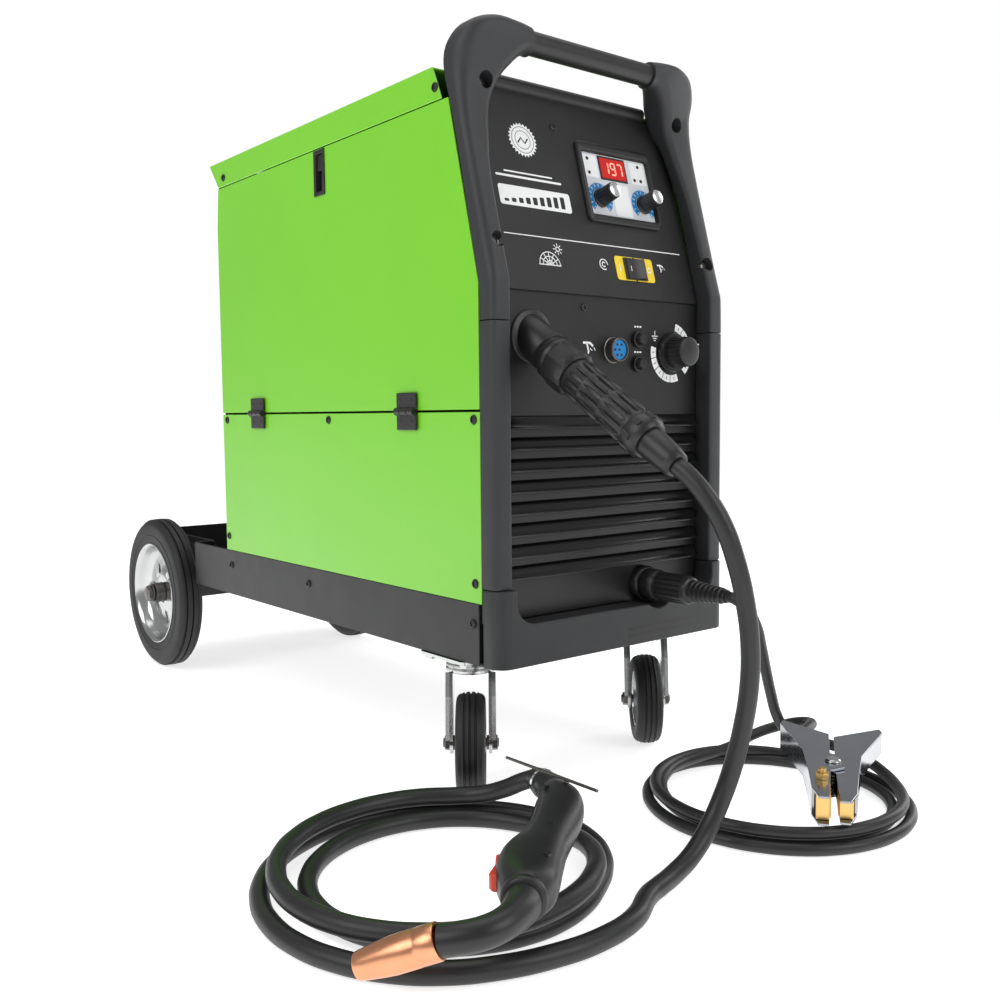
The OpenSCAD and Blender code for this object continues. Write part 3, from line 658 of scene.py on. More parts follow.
def ringTree():
    # Copies of one solid about local Z, each turned to face out.
    tree, keys = makeTree("evenRing", {"Solid": ("NodeSocketObject", None), "Count": ("NodeSocketInt", 12),
                                       "Radius": ("NodeSocketFloat", 0.01),
                                       "Finish": ("NodeSocketMaterial", None)})
    given = tree.nodes.new("NodeGroupInput")
    ring = wire(tree, "GeometryNodeMeshCircle", {"fill_type": "NONE"}, Vertices=given.outputs["Count"],
                Radius=given.outputs["Radius"])
    where = tree.nodes.new("GeometryNodeInputPosition")
    turn = wire(tree, "FunctionNodeAlignRotationToVector", {"axis": "X"}, Vector=where.outputs[0])
    copies(tree, given, ring.outputs["Mesh"], Rotation=turn.outputs[0])
    return tree, keys


def pointTree():
    # Copies of one solid on marked points, standing along each point's own direction.
    tree, keys = makeTree("markedPoints", {"Solid": ("NodeSocketObject", None),
                                           "Size": ("NodeSocketFloat", 1.0),
                                           "Finish": ("NodeSocketMaterial", None)})
    given = tree.nodes.new("NodeGroupInput")
    aim = wire(tree, "GeometryNodeInputNamedAttribute", {"data_type": "FLOAT_VECTOR"}, Name="aim")
    turn = wire(tree, "FunctionNodeAlignRotationToVector", {"axis": "Z"}, Vector=aim.outputs[0])
    copies(tree, given, given.outputs["Geometry"], Rotation=turn.outputs[0], Scale=given.outputs["Size"])
    return tree, keys


rowNodes, ringNodes, pointNodes = rowTree(), ringTree(), pointTree()


def grown(name, nodes, shape, finish, place, values, body="cart", stands=(), points=None, corner=35):
    # Runs a tree on a seed object and keeps the result as a plain mesh.
    tree, keys = nodes
    solid = shape.piece(name + "Seed", corner=corner)
    solid.parent = None
    solid.hide_render = True
    mesh = bpy.data.meshes.new(name + "Base")
    if points:
        mesh.from_pydata([p for p, aim in points], [], [])
        aims = mesh.attributes.new("aim", "FLOAT_VECTOR", "POINT")
        aims.data.foreach_set("vector", [c for p, aim in points for c in aim])
    base = placed(name + "Base", mesh)
    grow = base.modifiers.new("grow", "NODES")
    grow.node_group = tree
    grow[keys["Solid"]] = solid
    grow[keys["Finish"]] = finishes[finish].material
    for key, value in values.items():
        grow[keys[key]] = value
    result = evaluated(base)
    result.transform(place)
    base.modifiers.remove(grow)
    bpy.data.objects.remove(base)
    bpy.data.objects.remove(solid)
    return settle(placed(name, smoothed(result, corner)), body, stands)


metres = Matrix.Scale(0.001, 4)
slat = Shape(metres, "gloss")
slatProfile = [(0.4, 9.5), (-1.0, 9.2), (-3.0, 7.0), (-5.0, 3.6), (-6.6, 0.8), (-8.2, -0.1), (-8.9, -1.0),
               (-8.7, -2.0), (-7.6, -2.5), (-6.4, -2.2), (-5.4, -1.2), (-4.0, 1.2), (-1.8, 4.4), (0.4, 5.6)]
ends = [(-124, 0.45), (-121.5, 0.9), (-118, 1.0), (118, 1.0), (121.5, 0.9), (124, 0.45)]
slat.rings([[(x, y * k, 4 + (z - 4) * (0.7 + 0.3 * k)) for y, z in slatProfile] for x, k in ends])
lowest = louvreSpec["top"] - (louvreSpec["count"] - 1) * louvreSpec["pitch"]
grown("louvreSlats", rowNodes, slat, "gloss", Matrix.Translation((0, frontEdge, lowest / 1000)),
      {"Count": louvreSpec["count"], "Step": (0, 0, louvreSpec["pitch"] / 1000)}, corner=50)
print("front sheet and rails")

# Sheet and moulded bodies with their edges broken
flatFrom = 0.0005  # square metres: larger faces are the flats of sheets


def softened(name, node, finish, width, body="cart", steps=2, limit=32):
    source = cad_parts[node]
    mesh = source.data.copy()
    mesh.transform(source.matrix_world)
    work = bmesh.new()
    work.from_mesh(mesh)
    bmesh.ops.remove_doubles(work, verts=work.verts, dist=2e-5)
    bmesh.ops.dissolve_limit(work, angle_limit=math.radians(0.6), verts=work.verts, edges=work.edges)
    work.to_mesh(mesh)
    work.free()
    mesh.materials.clear()
    mesh.materials.append(finishes[finish].material)
    made = placed(name, mesh)
    soften = made.modifiers.new("soften", "BEVEL")
    soften.width, soften.segments, soften.limit_method = width / 1000, steps, "ANGLE"
    soften.angle_limit, soften.use_clamp_overlap = math.radians(limit), True
    result = smoothed(evaluated(made), 34)
    made.modifiers.remove(soften)
    result.polygons.foreach_set("material_index", [0] * len(result.polygons))
    for face in result.polygons:
        if face.area > flatFrom:
            face.use_smooth = False
    made.data = result
    return settle(made, body, (node,))


softSpec = dict(
    trayPan=("base_pan", "blackSteel", 0.8), shelfTray=("bottle_tray", "blackSteel", 0.8),
    coverSheet=("top_cover", "green", 1.2), lowerSheet=("lower_side_panel", "green", 0.5),
    rightSheet=("right_side_panel", "green", 0.5), frontBumper=("bumper", "charcoal", 2.6),
    rearSheet=("rear_panel", "blackSteel", 0.5),
)
for name, (node, finish, width) in softSpec.items():
    softened(name, node, finish, width, steps=3 if width > 2 else 2)
softened("doorSheet", "door", "green", 0.5, "side_door")

# Hinges
hingeSpec = dict(x=-149, z=341.5, places=(105, 405), half=15.5, barrel=3.7, upper=(343.6, 358.5),
                 lower=(324.5, 339.4), leaf=((-146.6, 0), (-147.8, 0), (-148.5, 0.8)))


def hingeHalf(name, body, node, up, knuckles):
    made = Shape(cabinet, "moulded")
    low, high = hingeSpec["upper" if up > 0 else "lower"]
    barrel = hingeSpec["barrel"]
    root = sorted((hingeSpec["z"], hingeSpec["z"] + up * 4))
    for y in hingeSpec["places"]:
        leaf = []
        for x, inset in hingeSpec["leaf"]:
            corners = ((-1, low + inset), (1, low + inset), (1, high - inset), (-1, high - inset))
            leaf.append([(x, y + a * (hingeSpec["half"] - inset), z) for a, z in corners])
        made.rings(leaf)
        for near, far in knuckles:
            made.lathe([(0.6, near), (barrel - 0.5, near), (barrel, near + 0.5), (barrel, far - 0.5),
                        (barrel - 0.5, far), (0.6, far)],
                       turned(x=-90, about=(hingeSpec["x"], y, hingeSpec["z"])), 28, bored=True)
            made.block((-149.4, y + near + 0.1, root[0]), (-147, y + far - 0.1, root[1]))
        made.use("blackSteel")
        for a in (-9, 9):
            made.lathe([(0, 148.2), (2.8, 148.2), (2.5, 148.75), (1.2, 148.85), (0, 148.85)],
                       turned(y=-90, about=(0, y + a, (low + high) / 2)), 18)
        made.use("moulded")
    made.piece(name, body, "black_plastic", (node,), edge=0.35, corner=40)


hingeHalf("doorLeaves", "side_door", "door_hinge_leaves", 1, ((-5.2, 5.2),))
hingeHalf("lowerLeaves", "cart", "panel_hinge_leaves", -1, ((-15, -5.8), (5.8, 15)))
softened("latchFrame", "latch_frame", "moulded", 0.6, "side_door")
softened("latchTongue", "latch_slider", "moulded", 0.5, "door_latch")
softened("wireSpool", "wire_spool", "spoolPlastic", 0.6, "spool")
softened("feederFrame", "wire_feeder", "cast", 0.7, "cart")
softened("feederArm", "pressure_arm", "moulded", 0.6, "feed_arm")
softened("mainTransformer", "transformer", "core", 1.2, "cart")
print("softened bodies")

# Rear wheels
wheelSpec = dict(axle=708, height=100, face=130, radius=100, width=31, bead=66.2, grooves=(7.5, 15.5, 23.5))


def lathedPoints(radius, width, crown, shoulder, grooves, depth, inner):
    # Tyre outline from its inner bead round the tread and back.
    points = [(inner, 1.5), (inner + 2, 0.2), (radius * 0.86, 0)]
    for i in range(7):
        a = math.pi / 2 * i / 6
        points.append((radius - crown - shoulder * (1 - math.sin(a)), shoulder * (1 - math.cos(a))))
    for g in grooves:
        lip = radius - crown * abs(g / width * 2 - 1) ** 2
        points += [(lip, g - 1.1), (radius - depth, g - 0.6), (radius - depth, g + 0.6), (lip, g + 1.1)]
    for i in range(7):
        a = math.pi / 2 * (1 - i / 6)
        points.append((radius - crown - shoulder * (1 - math.sin(a)), width - shoulder * (1 - math.cos(a))))
    return points + [(radius * 0.86, width), (inner + 2, width - 0.2), (inner, width - 1.5)]


for side, place, body in (("left", flip, "left_rear_wheel"), ("right", Matrix(), "right_rear_wheel")):
    hub = cabinet @ place @ turned(y=90, about=(wheelSpec["face"], wheelSpec["axle"], wheelSpec["height"]))
    tyre = Shape(hub, "tyre")
    tyre.lathe(lathedPoints(wheelSpec["radius"], wheelSpec["width"], 1.6, 8, wheelSpec["grooves"], 2.4,
                            wheelSpec["bead"]), steps=112, bored=True)
    tyre.lathe([(77, 30.6), (78, 31.5), (79, 30.6)], steps=96, bored=True)
    tyre.piece(side + "Tyre", body, "tyre_rubber", (side + "_rear_tyre",), corner=45)
    rim = Shape(hub, "zinc")
    rim.lathe([(66.2, 30), (67.6, 31.2), (66.4, 31.8), (64.6, 30.8), (62, 26), (60.4, 20), (57, 15.4),
               (50, 12.8), (42, 12.4), (30, 15.4), (24, 17.2), (20, 17.6), (16, 17.6), (15, 17.6),
               (15, 14.6), (24, 14.4), (42, 9.6), (54, 8), (60, 4), (66.2, 2.5)], steps=112, bored=True)
    rim.use("shell")
    rim.lathe([(6.2, -1.5), (12.6, -1.5), (13.2, 0), (13.2, 29), (15.4, 29), (15.4, 31.4), (6.2, 31.4)],
              steps=48, bored=True)
    rim.piece(side + "Rim", body, "zinc_steel", (side + "_rear_rim",), corner=38)
    lobe = Shape(metres, "zinc")
    lobe.rings([[(22, y, 16.2), (28, y * 1.3, 17.6), (38, y * 1.1, 14.6), (45, y * 0.4, 12.2),
                 (45, y * 0.2, 11.4), (22, y * 0.6, 14)]
                for y in (-4, -2, 2, 4)])
    grown(side + "RimLobes", ringNodes, lobe, "zinc", hub @ Matrix.Scale(1000, 4),
          {"Count": 5, "Radius": 0.0001}, body)
axle = Shape(cabinet, "shell")
for place in (Matrix(), flip):
    end = place @ turned(y=90, about=(0, wheelSpec["axle"], wheelSpec["height"]))
    axle.lathe([(0, 0), (6, 0), (6, 169.6), (5.2, 170.8), (0, 171)], end, 28)
    axle.lathe([(6.3, 162.5), (12, 162.5), (12, 164.5), (6.3, 164.5)], end, 36, bored=True)
    axle.lathe([(5.9, 164.5), (10.6, 164.5), (10.6, 169.2), (9.4, 170.2), (5.9, 170.2)], end, 6, bored=True)
    axle.lathe([(6.3, 125), (13, 125), (13, 127), (6.3, 127)], end, 36, bored=True)
axle.piece("wheelAxle", slot="zinc_steel", stands=("rear_axle",), corner=38)

# Casters
casterSpec = dict(across=113, back=58, turn=-39, trail=20, radius=45, width=26)
plates = Shape(cabinet, "zinc")
for sign in (-1, 1):
    local = turned(about=(sign * casterSpec["across"], casterSpec["back"], 0))
    plates.prism(roundedOutline(-34, -34, 34, 34, 5), 121, 124, local)
    plates.lathe([(0, 115.4), (22.4, 115.4), (23.2, 116.4), (23.2, 118), (21.6, 119.2), (18, 121.2),
                  (0, 121.2)], local, 48)
    plates.lathe([(0, 106), (5, 106), (5, 116), (0, 116)], local, 24)
    plates.lathe([(5.1, 103.4), (9.2, 103.4), (9.2, 106.6), (5.1, 106.6)], local, 6, bored=True)
    for x in (-26, 26):
        for y in (-26, 26):
            plates.lathe([(0, 117), (6, 117), (6, 121), (0, 121)], local @ turned(about=(x, y, 0)), 6)
plates.piece("casterPlates", slot="zinc_steel", stands=("caster_plates",), edge=0.3, corner=38)
for side, sign in (("left", -1), ("right", 1)):
    local = cabinet @ turned(z=casterSpec["turn"], about=(sign * casterSpec["across"], casterSpec["back"], 0))
    fork = Shape(local, "zinc")
    fork.lathe([(5.1, 107), (22, 107), (23, 107.8), (23, 110), (21, 111.4), (22.6, 112.2), (22.9, 113.4),
                (22.2, 114.7), (5.1, 114.7)], steps=48, bored=True)
    for leg in (-1, 1):
        outline = [(-17, 108), (17, 108), (18, 102), (12, 90), (-8, 52), (-11, 42), (-15, 36.5),
                   (-20, 34.6), (-25, 36.5), (-29, 42), (-30, 50), (-24, 88)]
        sheet = [[(leg * x, y, z) for y, z in outline] for x in (16, 19)]
        fork.rings(sheet[::leg])
        for edge in (((-17, 108), (-24, 88)), ((-24, 88), (-30, 50))):
            fork.rings([[(leg * 16, y, z), (leg * 16, y + 2.4, z), (leg * 22.5, y + 2.4, z), (leg * 22.5, y, z)]
                        for y, z in edge[::leg]])
    bolt = turned(y=90, about=(0, -casterSpec["trail"], casterSpec["radius"]))
    fork.use("shell")
    fork.lathe([(0, -25), (4, -25), (4, 24.4), (3.4, 25), (0, 25)], bolt, 24)
    fork.lathe([(4.1, 19), (7, 19), (7, 23.4), (6, 24), (4.1, 24)], bolt, 6, bored=True)
    fork.lathe([(0, -23.6), (6.2, -23.6), (7, -22.8), (7, -19), (0, -19)], bolt, 6)
    fork.lathe([(4.1, 14), (6.5, 14), (6.5, 16), (4.1, 16)], bolt, 28, bored=True)
    fork.lathe([(4.1, -16), (6.5, -16), (6.5, -14), (4.1, -14)], bolt, 28, bored=True)
    fork.piece(side + "CasterFork", side + "_caster", "zinc_steel", (side + "_caster_fork",), corner=38)
    centre = (-casterSpec["width"] / 2, -casterSpec["trail"], casterSpec["radius"])
    roller = Shape(local @ turned(y=90, about=centre), "tyre")
    roller.lathe(lathedPoints(casterSpec["radius"], casterSpec["width"], 1.4, 5.5, (8, 13, 18), 1.6, 28),
                 steps=88, bored=True)
    roller.use("silver")
    roller.lathe([(4.1, 0), (9, 0), (9, 6.4), (25.6, 7.6), (26.4, 2.4), (28, 2), (28, 24), (26.4, 23.6),
                  (25.6, 18.4), (9, 19.6), (9, 26), (4.1, 26)], steps=64, bored=True)
    roller.piece(side + "CasterRoller", side + "_caster_roller", "tyre_rubber", (side + "_caster_wheel",),
                 corner=42)
# Painted shade: two dark satin strips laid on the bumper's face stand in for the shaded inside of its vent
# slots, which are not cut.
ventShadeStrips = Shape(cabinet, "satin")
for z in (131.5, 138):
    ventShadeStrips.block((8, -24.15, z), (98, -23.9, z + 2.6))
ventShadeStrips.piece("bumperVents", slot="black_satin", corner=40)

# Wire on the spool, and the nut that keeps the spool on its hub
windingSpec = dict(inner=-104, hub=(370, 473), turns=26, pitch=1.6, radius=82, wire=0.8)
strand = Shape(metres @ turned(y=90), "copper")
strand.lathe([(windingSpec["radius"] + windingSpec["wire"] * math.cos(math.pi * i / 4),
               windingSpec["wire"] * math.sin(math.pi * i / 4)) for i in range(9)], steps=96, bored=True)
grown("spoolWinding", rowNodes, strand, "copper",
      cabinet @ Matrix.Translation((windingSpec["inner"], *windingSpec["hub"])) @ Matrix.Scale(1000, 4),
      {"Count": windingSpec["turns"], "Step": (windingSpec["pitch"] / 1000, 0, 0)}, "spool",
      corner=60)
spoolNut = Shape(cabinet @ turned(y=-90, about=(0, *windingSpec["hub"])), "moulded")
nutSections = ((118.05, 20), (119, 22), (124, 22), (126.4, 20), (127, 17))
lobes = [(2 * math.pi * i / 96, 1 - 0.07 * (1 + math.cos(16 * math.pi * i / 96)) / 2) for i in range(96)]
spoolNut.rings([[(r * k * math.cos(a), r * k * math.sin(a), z) for a, k in lobes] for z, r in nutSections])
spoolNut.use("zinc")
spoolNut.lathe([(0, 126.5), (7.5, 126.5), (7.5, 129.5), (6.6, 130.4), (0, 130.4)], steps=6)
spoolNut.piece("spoolNut", slot="black_plastic", corner=40)
print("wheels and casters")

# Handle bar
bar = Shape(cabinet @ turned(y=90, about=(0, 19, 658)), "moulded")
bar.lathe([(0, -74), (10.2, -74), (10.2, 74), (0, 74)], steps=56)
bar.piece("handleGrip", slot="black_satin", stands=("handle_bar",), corner=50)


# Screws
def screwHead(size=1.0):
    head = Shape(metres @ Matrix.Scale(size, 4), "blackSteel")
    head.lathe([(0, 0), (4.2, 0), (4.2, 0.5), (3.7, 1.35), (2.5, 1.85), (2.3, 1.85), (2.15, 0.9), (0, 0.9)],
               steps=20)
    return head


def onSide(sign, y, z, out=0.0):
    return (sign * (halfWidth + out) / 1000, frontEdge + y / 1000, z / 1000), (sign, 0, 0)


sideScrews = [onSide(s, y, z) for s in (-1, 1)
              for y, z in ((8, 195), (494, 195), (8, 334), (250, 334), (490, 334),
                           (12, 160), (300, 160), (490, 160))]
sideScrews += [onSide(s, y, z, 1.5) for s in (-1, 1) for y, z in ((478, 614.5), (55, 616))]
sideScrews += [((x / 1000, frontEdge + 0.5, z / 1000), (0, 1, 0))
               for x in (-130, 130) for z in (150, 380, 600)]
grown("caseScrews", pointNodes, screwHead(), "blackSteel", Matrix(), {},
      stands=("case_screws",), points=sideScrews)
railScrews = [((sign * 0.1188, frontEdge + 0.0302, 0.6184), (sign * 0.1, -1, 0.05)) for sign in (-1, 1)]
railScrews += [((sign * 0.1313, frontEdge - 0.0036, 0.4806), tuple(screwAim)) for sign in (-1, 1)]
grown("railScrews", pointNodes, screwHead(1.1), "shell", Matrix(), {}, points=railScrews)
lean = panelPlace.to_3x3() * 1000
panelOut = tuple(-(lean @ Vector((0, 1, 0))))
panelScrews = [(tuple(panelPlace @ Vector((-27, 0, 160))), panelOut), ((-0.026, frontEdge, 0.433), (0, -1, 0))]
grown("panelScrews", pointNodes, screwHead(0.8), "blackSteel", Matrix(), {},
      points=panelScrews)

# Control panel printing, drawn in millimetres across and up the panel
printSpec = dict(proud=0.12, mark=0.2, badge=(-67, 580), reel=(-62, 468), sun=(-50, 483), loop=(4.6, 474))
ink = Shape(panelFace, "print")


def up(z):
    return (z - 444) / math.cos(math.radians(panelLean))


def inked(outline, shape=ink, low=0.0, high=None):
    shape.prism(outline, low, high or printSpec["proud"])


def signPlace(name):
    x, z = printSpec[name]
    return x, up(z)


badge, reel, sun, loop = (signPlace(name) for name in ("badge", "reel", "sun", "loop"))
tips = [(16.4 if i % 2 else 14, math.pi * i / 26) for i in range(52)]
inked([(badge[0] + r * math.cos(a), badge[1] + r * math.sin(a)) for r, a in tips])
inked(roundedOutline(-106, up(518), -23, up(536), 2.5))
inked(roundedOutline(-106, up(543.5), -30, up(545.5), 0.9))
inked(roundedOutline(-96, up(548), -40, up(549.4), 0.6))
inked([(-109, up(492)), (113, up(492)), (113, up(492) + 0.9), (-109, up(492) + 0.9)])
for radius in (4, 8, 12):
    inked(band(radius - 0.4, radius + 0.4, 0, 180, *reel, 20))
for angle in (30, 60, 90, 120, 150):
    a = math.radians(angle)
    inked(strip([reel, (reel[0] + 12 * math.cos(a), reel[1] + 12 * math.sin(a))], 0.8))
inked(strip([(reel[0] - 13, reel[1]), (reel[0] + 13, reel[1])], 0.9))
for angle in range(0, 360, 45):
    a = math.radians(angle)
    inked(strip([(sun[0] + r * math.cos(a), sun[1] + r * math.sin(a)) for r in (3.2, 5.4)], 0.8))
inked(band(1.6, 2.5, 0, 359, *sun, 18))
inked(band(4.4, 5.4, 0, 300, *loop, 24))
inked(band(1.6, 2.6, 40, 320, *loop, 18))


def torchSign(shape, x, y, size=1.0, high=None):
    # A small torch outline: body, trigger and spark.
    for points, width in (([(-5, 5), (4, 5), (8, 2)], 2.2), ([(0, 4.4), (2.2, -3), (1.2, -6)], 2.0),
                          ([(4, 0), (7, -2)], 0.8), ([(9, 1), (11, -2)], 0.8)):
        inked(strip([(x + a * size, y + b * size) for a, b in points], width * size), shape, 0, high)


torchSign(ink, 80, up(476), 0.62)
ink.piece("panelPrint", slot="silver_face", corner=80)
darkInk = Shape(panelFace, "satin")
markHeights = printSpec["proud"], printSpec["mark"]
for radius in (12.4, 8.6):
    darkInk.prism(band(radius - 0.25, radius + 0.25, 0, 359, *badge, 40), *markHeights)
zigzag = [(badge[0] + x, up(577) + z) for x, z in ((-6, 0), (-2, 5), (2, 0), (6, 5))]
darkInk.prism(strip(zigzag, 1.6), *markHeights)
for i in range(9):
    x = -101 + 8.2 * i
    darkInk.prism(roundedOutline(x, up(521), x + 5, up(523.5) + 1.1 * i, 0.8, 3), *markHeights)
darkInk.piece("panelMarks", slot="black_satin", corner=80)

frontInk = Shape(frontFace, "print")
torchSign(frontInk, -22, 397, 0.95)
frontInk.prism(strip([(67, 416), (67, 411)], 0.9), 0, printSpec["proud"])
for i, half in enumerate((4, 2.6, 1.2)):
    frontInk.prism(strip([(67 - half, 411 - 2 * i), (67 + half, 411 - 2 * i)], 0.9), 0, printSpec["proud"])
for z in (418, 394.5):
    for x in (39, 42.5, 46):
        frontInk.prism(roundedOutline(x, z, x + 2.4, z + 1.6, 0.3, 2), 0, printSpec["proud"])
scaleSpec = dict(centre=(90, 396), inner=21.5, outer=28.5, mark=(23.5, 26.5), gap=0.9,
                 parts=((-46, 78, 5), (168, 292, 5)))
scaleMarks = Shape(frontFace, "satin")
for start, end, parts in scaleSpec["parts"]:
    step = (end - start) / parts
    for i in range(parts):
        a = start + step * i
        frontInk.prism(band(scaleSpec["inner"], scaleSpec["outer"], a + scaleSpec["gap"],
                            a + step - scaleSpec["gap"], *scaleSpec["centre"], 8), 0, printSpec["proud"])
        a = math.radians(a + step / 2)
        mark = [(scaleSpec["centre"][0] + r * math.cos(a), scaleSpec["centre"][1] + r * math.sin(a))
                for r in scaleSpec["mark"]]
        scaleMarks.prism(strip(mark, 0.7), *markHeights)
frontInk.piece("frontPrint", slot="silver_face", corner=80)
scaleMarks.piece("scaleMarks", slot="black_satin", corner=80)

# Display window with its bezel, plate, lamps and digits
dialSpec = dict(across=(18, 75), height=97)
bezel = Shape(panelFace, "moulded")
low, high = roundedOutline(2, 80, 88, 142, 2), roundedOutline(-4, 72, 92, 151, 5)
bezelRings = []
for grow, height in ((0, 0), (0, 2.6), (-1.4, 4), (-4.4, 4), (-5.6, 2.2), (-6, 0)):
    share = -grow / 6
    bezelRings.append([(far[0] + (near[0] - far[0]) * share, far[1] + (near[1] - far[1]) * share, height)
                       for far, near in zip(high, low)])
bezel.rings(bezelRings, loop=True)
bezel.piece("displayBezel", slot="black_plastic", stands=("control_bezel",), corner=50)
plate = Shape(panelFace, "foil")
plate.block((2, 80, -3), (88, 142, -0.4))
plate.use("print")
for x0, x1, z0, z1 in ((4, 22, 118, 140), (66, 86, 118, 140), (36, 58, 82, 114)):
    plate.prism(roundedOutline(x0, z0, x1, z1, 1.5), -0.4, -0.2)
plate.use("blue")
for x in dialSpec["across"]:
    plate.prism(band(9.6, 15.4, -50, 230, x, dialSpec["height"], 32), -0.4, -0.15)
plate.use("print")
for x in dialSpec["across"]:
    for i in range(13):
        a = math.radians(-45 + 270 * i / 12)
        tick = [(x + r * math.cos(a), dialSpec["height"] + r * math.sin(a)) for r in (11.6, 14.6)]
        plate.prism(strip(tick, 0.55), -0.15, -0.05)
plate.use("moulded")
plate.prism(roundedOutline(24, 117, 60, 141, 1), -0.4, -0.15)
for x, z in ((10.4, 136), (10, 122), (77.5, 136.5), (70, 122), (78.4, 122)):
    plate.lathe([(0, -0.4), (1.7, -0.4), (1.7, 0.1), (1.1, 0.7), (0, 0.8)], turned(about=(x, z, 0)), 16)
plate.use("lamp")
plate.prism(roundedOutline(26, 119, 58, 139, 1), -0.15, 0.3)
plate.use("glow")
segments = dict(a=((-2, 5), (2, 5)), b=((2.4, 4.6), (2.4, 0.4)), c=((2.4, -0.4), (2.4, -4.6)),
                d=((-2, -5), (2, -5)), f=((-2.4, 4.6), (-2.4, 0.4)), g=((-2, 0), (2, 0)))
for x, lit in ((33, "bc"), (42, "abcdfg"), (51, "abc")):
    for key in lit:
        plate.prism(strip([(x + a * 1.15, 129 + b * 1.15) for a, b in segments[key]], 1.3), 0.3, 0.45)
plate.piece("displayPlate", slot="silver_face", stands=("control_faceplate",), corner=60)


def knob(name, body, node, place, radius, length, ribs, cap, skirt=None):
    # Ribbed sides from an outline that swells and dips, with a crowned cap.
    turns = [2 * math.pi * i / (ribs * 6) for i in range(ribs * 6)]

    def outline(r, dip):
        reach = [r - dip * (0.5 + 0.5 * math.cos(ribs * a)) for a in turns]
        return [(k * math.cos(a), k * math.sin(a)) for k, a in zip(reach, turns)]

    made = Shape(place, "moulded")
    levels = ((radius * 0.97, 0.35, 0.6), (radius, 0.6, 1.4), (radius * 0.94, 0.6, length - 1.6),
              (radius * 0.9, 0.2, length - 0.5), (radius * 0.84, 0, length))
    made.rings([[(x, y, z) for x, y in outline(r, dip)] for r, dip, z in levels])
    if skirt:
        made.lathe([(0, 0.5), (skirt[0], 0.5), (skirt[0], skirt[1] * 0.6), (skirt[0] - 1, skirt[1]),
                    (0, skirt[1])])
    made.lathe([(0, -3), (2.9, -3), (2.9, 1), (0, 1)], steps=24)
    made.use(cap)
    made.lathe([(0, length - 0.4), (radius * 0.82, length - 0.4), (radius * 0.82, length + 0.3),
                (radius * 0.74, length + 0.7), (0, length + 0.75)])
    made.use("print")
    made.block((-0.4, radius * 0.5, length - 3), (0.4, radius * 0.99, length - 0.3))
    made.piece(name, body, "black_plastic", (node,), corner=38)


dialKnobs = (("wireKnob", "wire_speed_knob", "wire_knob"), ("voltKnob", "voltage_knob", "volt_knob"))
for (name, body, node), x in zip(dialKnobs, dialSpec["across"]):
    knob(name, body, node, panelFace @ turned(z=-40, about=(x, dialSpec["height"], 0)), 8.3, 19.4, 18, "silver",
         (9.2, 2.6))
knob("rangeKnob", "range_switch", "range_knob", frontFace @ turned(z=-60, about=(*scaleSpec["centre"], 0)),
     15, 24.2, 24, "moulded", (19, 6))

switch = Shape(panelFace, "yellow")
switch.prism(roundedOutline(19.5, up(461), 69.5, up(483.5), 3), 0, 0.5)
switch.use("moulded")
switchRim = [(30.5, up(461.8)), (58.5, up(461.8)), (58.5, up(482.2)), (30.5, up(482.2))]
inner = [(32.5, up(461.8) + 1.6), (56.5, up(461.8) + 1.6), (56.5, up(482.2) - 1.6), (32.5, up(482.2) - 1.6)]
switch.rings([[(*p, 0.5) for p in switchRim], [(*p, 1.8) for p in switchRim], [(*p, 1.8) for p in inner],
              [(*p, 0.5) for p in inner]], loop=True)
switch.use("print")
switch.prism(strip([(25, up(469)), (25, up(476))], 1), 0.5, 0.62)
switch.prism(band(2, 2.9, 0, 359, 63.8, up(472.4), 20), 0.5, 0.62)
switch.piece("switchPlate", slot="silver_face", edge=0.15, corner=45)
rockerPlace = panelPlace @ turned(z=-8, about=(44.5, 0, 29))
rocker = Shape(rockerPlace, "moulded")
rockerSide = [(-11, 4.6), (-11, -3.2), (-10, -3.9), (-6, -3.1), (0, -2.4), (6, -3.1), (10, -3.9),
              (11, -3.2), (11, 4.6)]
rocker.rings([[(x, y, z) for x, y in rockerSide] for z in (-9.6, 9.6)])
rocker.use("print")
rocker.block((-6.4, -3.4, -2.6), (-5.7, -3.05, 2.6))
rocker.piece("powerSwitch", "rocker", "black_plastic", ("power_rocker",), edge=0.5, corner=40)
print("control panel")

# Sockets and the torch plug
for name, (x, z) in breakerPlaces.items():
    button = Shape(frontFace @ turned(about=(x, z, 0)), "moulded")
    button.lathe([(0, -5), (7.4, -5), (7.4, -3.4), (4.95, -3.4), (4.95, 7.8), (4.2, 8.8), (0, 9)])
    button.piece(name + "Breaker", name + "_button", "black_plastic", (name + "_breaker",), corner=40)
pinSocket = Shape(frontFace @ turned(about=(10, 396, 0)), "shell")
pinSocket.lathe([(8.6, 0), (12, 0), (12, 1.6), (11, 2), (11, 10.2), (10.4, 11), (9.4, 11), (9.2, 7),
                 (8.6, 7)], bored=True)
pinSocket.use("blue")
pinSocket.lathe([(0, -11.5), (8.6, -11.5), (8.6, 7.4), (9.1, 7.4), (9.1, 9.4), (0, 9.4)])
pinSocket.use("moulded")
for i in range(6):
    a = math.radians(60 * i)
    r = 5.4 if i else 0
    pinSocket.lathe([(0, 9.3), (1.3, 9.3), (1.3, 9.7), (0, 9.7)],
                    turned(about=(r * math.cos(a), r * math.sin(a), 0)), 14)
pinSocket.piece("controlSocket", slot="blue_plastic", stands=("control_socket",), corner=40, edge=0.2)

